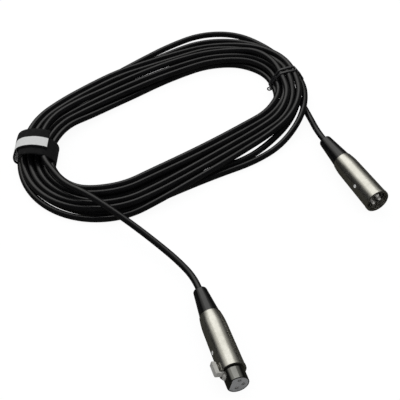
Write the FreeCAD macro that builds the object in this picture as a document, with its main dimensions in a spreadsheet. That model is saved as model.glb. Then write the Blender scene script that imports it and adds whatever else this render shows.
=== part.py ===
"""A coiled microphone cable with a three-pole socket and a three-pole plug.

Lengths are in millimetres. The long axis of the hank lies along X, the leads run off
towards -Y, and Z = 0 is the surface that the cable lies on. Each connector is built
about its own Z axis, from the rear of its boot to its mouth, and is then laid down.
"""
import FreeCAD
import Part
import Sketcher
import math
import os

Vector = FreeCAD.Vector
Rotation = FreeCAD.Rotation
Placement = FreeCAD.Placement
UP = Vector(0, 0, 1)

doc = FreeCAD.newDocument("cable_coil")

# Driving sizes: name, value, what it is
SIZES = [
    ("cable_diameter", 5.0, "outer diameter of the cable jacket"),
    ("coil_centre_x", -3.2, "centre of the hank along X"),
    ("coil_centre_y", 91.45, "centre of the hank along Y"),
    ("coil_half_length", 114.0, "middle of the bundle at the tips of the hank"),
    ("coil_half_width", 58.5, "middle of the bundle at the sides of the hank"),
    ("coil_end_radius", 56.0, "bend radius of the bundle at the tips"),
    ("strand_pitch", 5.6, "sideways step from one turn to the next"),
    ("layer_pitch", 5.46, "step up from one layer to the next"),
    ("strand_lift", 1.5, "clear height under the lowest turns, where the ties pass"),
    ("far_bow", 5.0, "how far the loose turn bows out at the far side"),
    ("near_bow", 3.5, "how far the loose turn bows out at the near side"),
    ("contact_circle_radius", 3.81, "radius of the circle of the three contacts"),
    ("pin_diameter", 2.4, "contact pin"),
    ("pin_tip_round", 0.7, "rounding at the tip of a pin"),
    ("pin_collar_diameter", 3.0, "contact pin inside its insert"),
    ("cup_bore_diameter", 1.6, "bore of a solder cup"),
    ("cup_depth", 3.0, "depth of a solder cup"),
    ("conductor_diameter", 1.2, "insulated conductor"),
    ("conductor_offset", 1.0, "conductor's distance from the cable's axis"),
    ("small_clearance", 0.05, "between pieces that locate each other"),
    ("loose_clearance", 0.1, "round the jacket and the boot's neck"),
    ("boot_rear_radius", 5.1, "boot where the cable enters"),
    ("boot_front_radius", 7.4, "boot where it meets the shell"),
    ("boot_rear_round", 1.2, "rounding at the rear of the boot"),
    ("boot_neck_radius", 6.5, "neck of the boot inside the shell"),
    ("boot_neck_length", 6.0, "length of that neck"),
    ("male_boot_length", 26.3, "visible length of the plug's boot"),
    ("female_boot_length", 23.8, "visible length of the socket's boot"),
    ("shell_rear_radius", 7.9, "shell at its rear edge"),
    ("shell_edge_round", 0.4, "rounding of the shell's edges"),
    ("shell_swell_length", 12.5, "length over which a shell swells"),
    ("shell_swell_curve", 75.0, "radius of that swelling curve"),
    ("shell_cavity_radius", 7.6, "inside of a shell behind its insert"),
    ("male_conductor_room", 5.1, "from the cut jacket to the plug's solder cups"),
    ("male_swell_radius", 8.95, "plug's shell after the swelling"),
    ("male_front_radius", 9.7, "plug's shell behind its rim"),
    ("male_rim_radius", 9.9, "rim of the plug's shell"),
    ("male_rim_length", 2.2, "length of that rim"),
    ("male_bore_radius", 8.05, "mating bore of the plug"),
    ("male_bore_depth", 15.5, "insert's face to the rim"),
    ("male_step_one_radius", 8.4, "inner step at the mouth"),
    ("male_step_two_radius", 8.8, "outer step at the mouth"),
    ("male_step_depth", 1.2, "depth of each step"),
    ("male_insert_length", 7.5, "wide part of the plug's insert"),
    ("male_insert_boss_radius", 7.0, "boss behind the plug's insert"),
    ("male_insert_boss_length", 5.5, "length of that boss"),
    ("male_pin_inset", 2.0, "pin tips behind the rim"),
    ("male_pin_tail", 5.0, "solder cup behind the boss"),
    ("pocket_depth", 0.85, "pocket in the mating bore for the latch's hook"),
    ("pocket_side_gap", 0.4, "each side of the hook in that pocket"),
    ("pocket_end_gap", 0.4, "before and behind the hook in that pocket"),
    ("male_rear_x", 82.8, "rear of the plug's boot along X"),
    ("male_rear_y", -2.95, "rear of the plug's boot along Y"),
    ("male_heading", -99.9, "way the plug points, degrees from +X"),
    ("male_roll", 158.0, "side of the plug's latch pocket, degrees above level"),
    ("female_rear_x", -88.9, "rear of the socket's boot along X"),
    ("female_rear_y", -65.15, "rear of the socket's boot along Y"),
    ("female_heading", -109.5, "way the socket points, degrees from +X"),
    ("female_roll", 165.0, "side of the socket's latch, degrees above level"),
    ("female_barrel_length", 50.3, "length of the socket's barrel"),
    ("female_nose_length", 10.8, "nose in front of the barrel"),
    ("female_swell_radius", 9.0, "barrel after the swelling"),
    ("female_front_radius", 9.45, "barrel behind its lip"),
    ("female_lip_radius", 9.7, "lip of the barrel"),
    ("female_lip_length", 2.0, "length of that lip"),
    ("nose_radius", 7.9, "outside of the nose sleeve"),
    ("nose_wall", 0.6, "wall of the nose sleeve"),
    ("nose_seat_length", 13.0, "sleeve's length inside the barrel"),
    ("nose_shoulder", 0.15, "sleeve stands proud by this inside the barrel"),
    ("nose_end_wall", 1.0, "segment that closes part of the sleeve's end"),
    ("female_insert_length", 31.0, "length of the socket's insert"),
    ("insert_inset", 0.3, "insert's face behind the sleeve's end"),
    ("insert_face_wall", 1.2, "insert in front of its contacts"),
    ("insert_flat", 5.3, "flat at the insert's face, from the axis"),
    ("socket_outer_diameter", 3.5, "socket contact"),
    ("socket_bore_diameter", 2.5, "bore of a socket contact"),
    ("socket_bore_depth", 14.0, "depth of that bore"),
    ("socket_tail", 4.0, "solder cup behind the insert"),
    ("entry_hole_radius", 1.45, "hole in the insert's face"),
    ("clamp_length", 4.2, "cable clamp"),
    ("clamp_radius", 7.4, "outside of the cable clamp"),
    ("clamp_gap", 0.3, "from the boot's neck to the clamp"),
    ("clamp_slit", 1.2, "slit of the clamp"),
    ("jacket_overhang", 1.0, "jacket in front of the clamp"),
    ("lever_width", 4.4, "latch lever"),
    ("lever_thickness", 1.0, "sheet of the latch lever"),
    ("lever_arm_height", 5.7, "underside of the lever's arm from the axis"),
    ("lever_pad_height", 13.5, "top of the thumb pad from the axis"),
    ("lever_pad_length", 10.2, "length of the thumb pad"),
    ("lever_cheek_height", 10.6, "underside of the pad's cheeks from the axis"),
    ("lever_cheek_wall", 0.8, "wall of those cheeks"),
    ("lever_leg_gap", 0.4, "from the lip to the lever's leg"),
    ("lever_hook_height", 8.6, "top of the hook from the axis"),
    ("lever_hook_length", 2.4, "length of the hook"),
    ("lever_hook_advance", 5.2, "hook's front ahead of the lip"),
    ("lever_eye_radius", 1.2, "eye round the pivot"),
    ("pivot_radius", 0.6, "pivot pin"),
    ("pivot_height", 5.6, "pivot from the axis"),
    ("pivot_length", 7.2, "length of the pivot pin"),
    ("pivot_setback", 9.8, "pivot behind the lip"),
    ("pivot_clearance", 0.05, "round the pivot in the eye"),
    ("channel_side_gap", 0.3, "each side of the lever"),
    ("channel_floor", 4.3, "floor of the lever's channel from the axis"),
    ("slot_front_gap", 0.9, "in front of the hook"),
    ("spring_thickness", 0.3, "leaf under the latch lever"),
    ("spring_width", 3.0, "width of that leaf"),
    ("spring_foot", 3.0, "flat foot of the leaf"),
    ("spring_reach", 6.0, "sloping part of the leaf"),
    ("spring_gap", 0.3, "from the leaf's tip to the lever"),
    ("screw_head_radius", 1.4, "head of an insert screw"),
    ("screw_head_length", 1.1, "depth of that head"),
    ("screw_shank_radius", 1.0, "shank of an insert screw"),
    ("screw_tip_height", 6.0, "screw's tip from the axis"),
    ("screw_slot_width", 0.45, "driver slot"),
    ("screw_slot_depth", 0.5, "depth of the driver slot"),
    ("screw_head_top", 9.2, "top of a screw's head from the axis"),
    ("male_screw_setback", 18.9, "screw behind the plug's rim"),
    ("female_screw_setback", 17.6, "screw behind the barrel's lip"),
    ("strap_width", 20.0, "hook-and-loop strap"),
    ("strap_thickness", 1.1, "one layer of the strap"),
    ("wrap_gap", 0.4, "between a wrap and the turns"),
    ("strap_angle", 140.0, "where the strap sits round the tip, degrees from +X"),
    ("tie_width", 2.4, "twist tie"),
    ("tie_thickness", 0.8, "thickness of the twist tie"),
    ("tie_angle", -18.0, "where the tie sits round the tip, degrees from +X"),
    ("tie_spacing", 3.4, "between the two wraps of the tie"),
    ("tie_tail_radius", 1.1, "twisted ends of the tie"),
    ("tie_tail_length", 9.0, "length of those ends"),
]


class Measure:
    """A length with the sheet expression that gives it."""

    def __init__(self, text, value):
        self.text = text
        self.value = value

    def combine(self, other, sign, result):
        return Measure("(%s %s %s)" % (self.text, sign, as_measure(other).text), result)

    def __add__(self, other):
        return self.combine(other, "+", self.value + as_measure(other).value)

    def __sub__(self, other):
        return self.combine(other, "-", self.value - as_measure(other).value)

    def __mul__(self, factor):
        return self.combine(factor, "*", self.value * as_measure(factor).value)

    def __truediv__(self, factor):
        return self.combine(factor, "/", self.value / as_measure(factor).value)

    def __neg__(self):
        return Measure("(0 - %s)" % self.text, -self.value)


def as_measure(thing):
    if isinstance(thing, Measure):
        return thing
    return Measure(repr(float(thing)), float(thing))


ZERO = as_measure(0)


class Sizes:
    """Reads the sheet: sizes.name is a Measure bound to the cell of that name."""

    def __init__(self, sheet):
        self.sheet = sheet

    def __getattr__(self, name):
        return Measure("Sizes." + name, float(self.sheet.get(name)))


def make_sheet():
    sheet = doc.addObject("Spreadsheet::Sheet", "Sizes")
    for row, (name, value, note) in enumerate(SIZES, start=1):
        sheet.set("A%d" % row, name)
        sheet.set("B%d" % row, str(value))
        sheet.setAlias("B%d" % row, name)
        sheet.set("C%d" % row, note)
    doc.recompute()
    return Sizes(sheet)


sizes = make_sheet()
parts = []


def keep(thing, name, place=None):
    """Name a finished sub-part, lay it in its place and remember it."""
    thing.Label = name
    if place is not None:
        thing.Placement = place
    parts.append(thing)
    return thing


def bind(thing, field, measure):
    thing.setExpression(field, as_measure(measure).text)


def origin_plane(body, role):
    return [plane for plane in body.Origin.OriginFeatures if plane.Role == role][0]


def new_sketch(body, name, role):
    sketch = body.newObject("Sketcher::SketchObject", name)
    sketch.AttachmentSupport = (origin_plane(body, role), "")
    sketch.MapMode = "FlatFace"
    return sketch


def pin_down(sketch, geometry, end, across, along):
    """Fix one point of a sketch to two sheet expressions."""
    for kind, measure in (("DistanceX", across), ("DistanceY", along)):
        rule = Sketcher.Constraint(kind, -1, 1, geometry, end, measure.value)
        index = sketch.addConstraint(rule)
        sketch.setExpression("Constraints[%d]" % index, measure.text)


def outline(sketch, corners):
    """Closed outline through (across, along) corners, each pinned to the sheet.

    A third entry in a corner is the radius of an outward arc to the next corner.
    """
    corners = [(as_measure(c[0]), as_measure(c[1])) + tuple(c[2:]) for c in corners]
    count = len(corners)
    for index, corner in enumerate(corners):
        following = corners[(index + 1) % count]
        start = Vector(corner[0].value, corner[1].value, 0)
        finish = Vector(following[0].value, following[1].value, 0)
        if len(corner) == 3:
            radius = as_measure(corner[2])
            add_arc(sketch, start, finish, radius)
            geometry = sketch.GeometryCount - 1
            rule = sketch.addConstraint(Sketcher.Constraint("Radius", geometry, radius.value))
            sketch.setExpression("Constraints[%d]" % rule, radius.text)
            backwards = sketch.Geometry[geometry].StartPoint.distanceToPoint(start) > 1e-6
            pin_down(sketch, geometry, 2 if backwards else 1, corner[0], corner[1])
            pin_down(sketch, geometry, 1 if backwards else 2, following[0], following[1])
        else:
            sketch.addGeometry(Part.LineSegment(start, finish), False)
            geometry = sketch.GeometryCount - 1
            pin_down(sketch, geometry, 1, corner[0], corner[1])
            pin_down(sketch, geometry, 2, following[0], following[1])


def add_arc(sketch, start, finish, radius):
    """Arc from start to finish that bulges to the right of the way from one to the other."""
    chord = finish - start
    half = chord.Length / 2
    side = Vector(chord.y, -chord.x, 0).normalize()
    rise = radius.value - math.sqrt(radius.value ** 2 - half ** 2)
    top = (start + finish) * 0.5 + side * rise
    sketch.addGeometry(Part.Arc(start, top, finish), False)


def turned(name, corners):
    """Body of revolution about Z from (radius, height) corners."""
    body = doc.addObject("PartDesign::Body", name + "_body")
    sketch = new_sketch(body, name + "_profile", "XZ_Plane")
    outline(sketch, corners)
    turn = body.newObject("PartDesign::Revolution", name + "_turn")
    turn.Profile = sketch
    turn.ReferenceAxis = (sketch, ["V_Axis"])
    turn.Angle = 360
    return body


def cylinder(radius, height, base=None, direction=None):
    """Cylinder whose size and base point are bound to the sheet."""
    thing = doc.addObject("Part::Cylinder", "round_tool")
    bind(thing, "Radius", radius)
    bind(thing, "Height", height)
    if direction is not None:
        thing.Placement = Placement(Vector(), Rotation(UP, direction))
    for field, measure in zip("xyz", base or ()):
        bind(thing, "Placement.Base." + field, measure)
    return thing


def block(low, high):
    """Box between two corners bound to the sheet."""
    thing = doc.addObject("Part::Box", "square_tool")
    for field, start, stop in zip(("Length", "Width", "Height"), low, high):
        bind(thing, field, as_measure(stop) - start)
    for field, start in zip("xyz", low):
        bind(thing, "Placement.Base." + field, start)
    return thing


def without(base, tools, name):
    """The base with the tools cut away."""
    if len(tools) > 1:
        tool = doc.addObject("Part::MultiFuse", name + "_tools")
        tool.Shapes = tools
    else:
        tool = tools[0]
    result = doc.addObject("Part::Cut", name + "_cut")
    result.Base = base
    result.Tool = tool
    return result


def joined(pieces, name):
    result = doc.addObject("Part::MultiFuse", name + "_join")
    result.Shapes = pieces
    return result


def extruded(name, corners, width, plane="XZ_Plane", holes=()):
    """Sheet piece: an outline in a plane, padded to both sides of it."""
    body = doc.addObject("PartDesign::Body", name + "_body")
    sketch = new_sketch(body, name + "_profile", plane)
    outline(sketch, corners)
    for across, along, radius in holes:
        circle = Part.Circle(Vector(across.value, along.value, 0), UP, radius.value)
        sketch.addGeometry(circle, False)
        geometry = sketch.GeometryCount - 1
        pin_down(sketch, geometry, 3, across, along)
        rule = sketch.addConstraint(Sketcher.Constraint("Radius", geometry, radius.value))
        sketch.setExpression("Constraints[%d]" % rule, radius.text)
    pad = body.newObject("PartDesign::Pad", name + "_pad")
    pad.Profile = sketch
    pad.Midplane = True
    pad.setExpression("Length", width.text)
    return body


def plain_part(name, shape, place=None):
    """Sub-part whose shape comes from Part's own functions."""
    thing = doc.addObject("Part::Feature", name)
    thing.Shape = shape
    return keep(thing, name, place or Placement())


# The route of a tube

def rounded_route(points, share=0.45):
    """Straight runs joined by tangent arcs. Returns the edges and the arcs' radii."""
    edges = []
    radii = []
    at = points[0]
    for before, corner, after in zip(points, points[1:], points[2:]):
        into = (corner - before).normalize()
        out = (after - corner).normalize()
        run = min((corner - before).Length, (after - corner).Length)
        reach = share * run
        half_turn = into.getAngle(out) / 2
        radii.append(reach / math.tan(half_turn))
        start = corner - into * reach
        finish = corner + out * reach
        edges.append(Part.LineSegment(at, start).toShape())
        edges.append(tangent_arc(start, corner, finish))
        at = finish
    edges.append(Part.LineSegment(at, points[-1]).toShape())
    return edges, radii


def tangent_arc(start, corner, finish):
    """Arc that leaves start towards corner and reaches finish from corner."""
    middle = (start + finish) * 0.5
    half_turn = (corner - start).getAngle(finish - corner) / 2
    lift = math.cos(half_turn) / (1 + math.cos(half_turn))
    return Part.Arc(start, middle + (corner - middle) * lift, finish).toShape()


def tube(edges, diameter, mode=None):
    """Round tube along the edges, as one solid."""
    spine = Part.Wire(edges)
    first = edges[0]
    start = first.valueAt(first.FirstParameter)
    heading = first.tangentAt(first.FirstParameter)
    ring = Part.Wire([Part.Circle(start, heading, diameter / 2).toShape()])
    return spine.makePipeShell([ring], True, False), spine.Length


def report_tube(name, shape, length, diameter, radii):
    ideal = math.pi * diameter ** 2 / 4 * length
    print("%s: length %.1f, volume over section times length %.5f, least radius %.1f"
          % (name, length, shape.Volume / ideal, min(radii)))
    print("   radii: " + " ".join("%.1f" % radius for radius in radii))


# The hank

TURN_STEPS = 8
LOWEST = sizes.strand_lift + sizes.cable_diameter / 2
LAST_STEP = 84


def hank_rank(step):
    """Place of the strand across the bundle, 0 inside to 5 outside, after so many steps.

    A step is an eighth of a turn, counted from the tip at +X, where the plug's lead is.
    """
    turn = step / TURN_STEPS
    marks = [(0, 2), (2, 0), (2.25, -0.15), (2.5, 0), (4.5, 2.03), (4.625, 2.3), (5, 3),
             (7, 5), (7.25, 5.2), (7.5, 5), (9.5, 3), (9.75, 2.7), (9.875, 2.6), (10, 2.25),
             (10.5, 1.5)]
    return between(marks, turn)


def hank_layer(step):
    """Height of the strand in layers, 0 at the bottom."""
    turn = step / TURN_STEPS
    marks = [(0, 0), (2, 0), (2.5, 1), (4.375, 1), (4.5, 0.9), (4.625, 0.4), (4.75, 0),
             (4.875, 1), (5, 1), (5.25, 0), (5.625, 0), (5.75, 0.5), (5.875, 1), (6, 1),
             (6.25, 0), (6.625, 0), (6.75, 0.7), (6.875, 1), (7, 1), (7.25, 0.6), (7.5, 1),
             (7.625, 1), (7.75, 1.7), (7.875, 2), (8, 2), (8.25, 1), (8.625, 1), (8.75, 1.5),
             (8.875, 2), (9, 2), (9.25, 1), (9.375, 1), (9.5, 1.15), (9.625, 1.45),
             (9.75, 1.4), (9.875, 2), (10.5, 2)]
    return between(marks, turn)


def between(marks, place):
    """Value on the straight lines through the marks."""
    for (start, low), (stop, high) in zip(marks, marks[1:]):
        if place <= stop:
            return low + (high - low) * (place - start) / (stop - start)
    return marks[-1][1]


def hank_bow(step):
    """Extra distance outwards where the loose outer turn leaves the bundle."""
    near = between([(0, 0), (53, 0), (54, 0.3), (55, 1), (56, 0)], step)
    far = between([(0, 0), (56, 0), (57, 1), (58, 0.3), (59, 0)], step)
    return near * sizes.near_bow.value + far * sizes.far_bow.value


def hank_side():
    """Distance of the tips' bend centres, radius of the sides, angle where they meet."""
    half_width = sizes.coil_half_width.value
    end_radius = sizes.coil_end_radius.value
    end_centre = sizes.coil_half_length.value - end_radius
    square = end_centre ** 2 + half_width ** 2 - end_radius ** 2
    side_radius = square / (2 * (half_width - end_radius))
    shoulder = math.atan2(side_radius - half_width, end_centre)
    return end_centre, side_radius, shoulder


def hank_node(step):
    """Point and outward normal of the strand after so many steps."""
    half_width = sizes.coil_half_width.value
    end_radius = sizes.coil_end_radius.value
    end_centre, side_radius, shoulder = hank_side()
    heading = 2 * math.pi * step / TURN_STEPS
    normal = Vector(math.cos(heading), math.sin(heading), 0)
    if step % 4 == 2:
        rise = half_width - side_radius
        middle = Vector(0, rise * normal.y, 0)
        radius = side_radius
    else:
        middle = Vector(math.copysign(end_centre, normal.x), 0, 0)
        radius = end_radius
    offset = (hank_rank(step) - 2.5) * sizes.strand_pitch.value + hank_bow(step)
    height = LOWEST.value + hank_layer(step) * sizes.layer_pitch.value
    centre = Vector(sizes.coil_centre_x.value, sizes.coil_centre_y.value, height)
    return centre + middle + normal * (radius + offset), normal


def hank_nodes():
    """Points and directions at every step, the ends set straight along Y."""
    found = [hank_node(step) for step in range(LAST_STEP + 1)]
    points = [point for point, normal in found]
    ways = []
    for index, (point, normal) in enumerate(found):
        forward = Vector(-normal.y, normal.x, 0)
        if 0 < index < LAST_STEP:
            before = points[index] - points[index - 1]
            after = points[index + 1] - points[index]
            run = before.Length + after.Length
            climb = (points[index + 1].z - points[index - 1].z) / run
            drift = (offset_of(index + 1) - offset_of(index - 1)) / run
            forward = forward + UP * climb + normal * drift
        ways.append(forward.normalize())
    return points, ways


def offset_of(step):
    return hank_rank(step) * sizes.strand_pitch.value + hank_bow(step)


def other_reach(gap, way, other_way, reach):
    """Second tangent length of two joined arcs when the first one is given."""
    turn = way.dot(other_way) - 1
    return (gap.dot(gap) / 2 - reach * gap.dot(way)) / (gap.dot(other_way) - reach * turn)


def two_arcs(start, way_in, finish, way_out, reach_in=None, reach_out=None):
    """Two tangent arcs that join two points with given directions."""
    gap = finish - start
    if reach_in is not None:
        reach_out = other_reach(gap, way_in, way_out, reach_in)
    elif reach_out is not None:
        reach_in = other_reach(gap, way_out, way_in, reach_out)
    else:
        along = gap.dot(way_in + way_out)
        square = 2 * (1 - way_in.dot(way_out))
        reach_in = (math.sqrt(along ** 2 + square * gap.dot(gap)) - along) / square
        reach_out = reach_in
    first_corner = start + way_in * reach_in
    second_corner = finish - way_out * reach_out
    middle = first_corner + (second_corner - first_corner) * (reach_in / (reach_in + reach_out))
    edges = []
    for low, corner, high in ((start, first_corner, middle), (middle, second_corner, finish)):
        bend = (corner - low).getAngle(high - corner)
        if bend < 1e-4:
            edges.append(Part.LineSegment(low, high).toShape())
        else:
            edges.append(tangent_arc(low, corner, high))
    return edges


def hank_route():
    points, ways = hank_nodes()
    straight = sizes.cable_diameter.value
    edges = [Part.LineSegment(points[0] - ways[0] * straight, points[0]).toShape()]
    shoulder = hank_side()[2]
    bend = math.tan((shoulder - math.pi / 4) / 2)
    for index in range(LAST_STEP):
        reaches = [None, None]
        radius = sizes.coil_end_radius.value - 2.5 * sizes.strand_pitch.value
        if index % 4 == 1:
            reaches[0] = (radius + offset_of(index + 0.5)) * bend
        elif index % 4 == 2:
            reaches[1] = (radius + offset_of(index + 0.5)) * bend
        edges += two_arcs(points[index], ways[index], points[index + 1], ways[index + 1],
                          *reaches)
    edges.append(Part.LineSegment(points[-1], points[-1] + ways[-1] * straight).toShape())
    return edges, points, ways


def least_gap(edges, diameter, spacing=2.5):
    """Least clear distance between parts of the tube that aren't neighbours along it."""
    samples = []
    travelled = 0.0
    for edge in edges:
        count = max(1, int(math.ceil(edge.Length / spacing)))
        for index in range(count):
            share = index / count
            where = edge.FirstParameter + share * (edge.LastParameter - edge.FirstParameter)
            samples.append((travelled + share * edge.Length, edge.valueAt(where)))
        travelled += edge.Length
    cells = {}
    cell = 3 * diameter
    for place, point in samples:
        key = (int(point.x // cell), int(point.y // cell))
        cells.setdefault(key, []).append((place, point))
    best = (1e9, None, None)
    for place, point in samples:
        home = (int(point.x // cell), int(point.y // cell))
        for across in (-1, 0, 1):
            for along in (-1, 0, 1):
                for other, there in cells.get((home[0] + across, home[1] + along), ()):
                    if other - place > 6 * diameter:
                        apart = point.distanceToPoint(there)
                        if apart < best[0]:
                            best = (apart, place, point)
    return best[0] - diameter, best[1], best[2]


def make_coil():
    diameter = sizes.cable_diameter.value
    edges, points, ways = hank_route()
    shape, length = tube(edges, diameter)
    plain_part("cable_coil", shape)
    arcs = [edge for edge in edges if hasattr(edge.Curve, "Radius")]
    radii = [edge.Curve.Radius for edge in arcs]
    ideal = math.pi * diameter ** 2 / 4 * length
    print("cable_coil: %.1f long, %d edges, least radius %.1f, volume over ideal %.5f"
          % (length, len(edges), min(radii), shape.Volume / ideal))
    gap, place, point = least_gap(edges, diameter)
    print("cable_coil: least gap to itself %.2f at %.0f along, near (%.0f, %.0f, %.0f)"
          % (gap, place, point.x, point.y, point.z))
    start = points[0] - ways[0] * diameter
    finish = points[-1] + ways[-1] * diameter
    print("cable_coil: starts at (%.2f, %.2f, %.2f), ends at (%.2f, %.2f, %.2f)"
          % (start.x, start.y, start.z, finish.x, finish.y, finish.z))
    return edges, start, finish


coil_edges, coil_start, coil_finish = make_coil()


# How a connector is laid down

class Stance:
    """Where a connector lies: its rear point, the way it points and its placement."""

    def __init__(self, rear_x, rear_y, heading, roll, profile):
        heading = math.radians(heading.value)
        roll = math.radians(roll.value)
        (swell_radius, swell_at), (front_radius, front_at) = profile
        run = front_at.value - swell_at.value
        tilt = math.atan((front_radius.value - swell_radius.value) / run)
        height = swell_radius.value * math.cos(tilt) - swell_at.value * math.sin(tilt)
        level = math.cos(tilt)
        self.axis = Vector(math.cos(heading) * level, math.sin(heading) * level,
                           math.sin(tilt))
        level_side = Vector(-math.sin(heading), math.cos(heading), 0)
        top = self.axis.cross(level_side)
        side = level_side * math.cos(roll) + top * math.sin(roll)
        up = self.axis.cross(side)
        self.rear = Vector(rear_x.value, rear_y.value, height)
        axis = self.axis
        matrix = FreeCAD.Matrix(side.x, up.x, axis.x, 0, side.y, up.y, axis.y, 0,
                                side.z, up.z, axis.z, 0, 0, 0, 0, 1)
        self.place = Placement(matrix)
        self.place.Base = self.rear


# Pieces that both connectors have

CABLE_RADIUS = sizes.cable_diameter / 2
PIN_RADIUS = sizes.pin_diameter / 2
COLLAR_RADIUS = sizes.pin_collar_diameter / 2
CONTACT_WAYS = (("1", 0, 1), ("2", 0, -1), ("3", -1, 0))


def radial(angle):
    return math.cos(math.radians(angle)), math.sin(math.radians(angle))


def make_boot(name, length, place):
    """Tapered boot with the neck that goes into the shell."""
    bore = CABLE_RADIUS + sizes.loose_clearance
    rounding = sizes.boot_rear_round
    end = length + sizes.boot_neck_length
    boot = turned(name, [
        (bore, 0),
        (sizes.boot_rear_radius - rounding, 0, rounding),
        (sizes.boot_rear_radius, rounding),
        (sizes.boot_front_radius, length),
        (sizes.boot_neck_radius, length),
        (sizes.boot_neck_radius, end),
        (bore, end),
    ])
    return keep(boot, name, place)


def make_clamp(name, start, place):
    """Split sleeve that grips the jacket in front of the boot's neck."""
    ring = turned(name, [
        (CABLE_RADIUS + sizes.small_clearance, start),
        (sizes.clamp_radius, start),
        (sizes.clamp_radius, start + sizes.clamp_length),
        (CABLE_RADIUS + sizes.small_clearance, start + sizes.clamp_length),
    ])
    slit = sizes.clamp_slit / 2
    gap = block((0, -slit, start - 1),
                (sizes.clamp_radius + 1, slit, start + sizes.clamp_length + 1))
    return keep(without(ring, [gap], name), name, place)


def make_cable_end(name, finish, place):
    """End of the cable inside the connector, cut square."""
    return keep(cylinder(CABLE_RADIUS, finish), name, place)


def make_conductors(prefix, start, cup, ways, place):
    """Three insulated conductors from the cut jacket to the solder cups."""
    for role, across, along in ways:
        way = Vector(across, along, 0)
        near = way * sizes.conductor_offset.value
        far = way * sizes.contact_circle_radius.value
        into = 0.8 * sizes.cup_depth.value
        lead = 0.25 * (cup.value - start.value)
        points = [near + UP * start.value, near + UP * (start.value + lead),
                  far + UP * (cup.value - lead), far + UP * (cup.value + into)]
        edges, radii = rounded_route(points)
        shape, length = tube(edges, sizes.conductor_diameter.value)
        plain_part("%s_%s_conductor" % (prefix, role), shape, place)


def make_screw(name, height, place):
    """Slotted set screw on the latch's side, square to the axis."""
    under = sizes.screw_head_top - sizes.screw_head_length
    tip = sizes.screw_tip_height
    way = Vector(1, 0, 0)
    shank = cylinder(sizes.screw_shank_radius, under - tip + 0.2, (tip, 0, height), way)
    head = cylinder(sizes.screw_head_radius, sizes.screw_head_length, (under, 0, height), way)
    floor = sizes.screw_head_top - sizes.screw_slot_depth
    slot = block((floor, -sizes.screw_slot_width / 2, height - sizes.screw_head_radius - 1),
                 (sizes.screw_head_top + 1, sizes.screw_slot_width / 2,
                  height + sizes.screw_head_radius + 1))
    return keep(without(joined([shank, head], name), [slot], name), name, place)


def screw_hole(height, shank_only):
    """Tool that clears the screw: its shank, or its head as well."""
    radius = sizes.screw_shank_radius if shank_only else sizes.screw_head_radius
    start = sizes.screw_tip_height - sizes.small_clearance if shank_only else ZERO + 7
    clear = radius + (sizes.small_clearance if shank_only else sizes.loose_clearance)
    return cylinder(clear, ZERO + 12 - start, (start, 0, height), Vector(1, 0, 0))


# The plug

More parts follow.
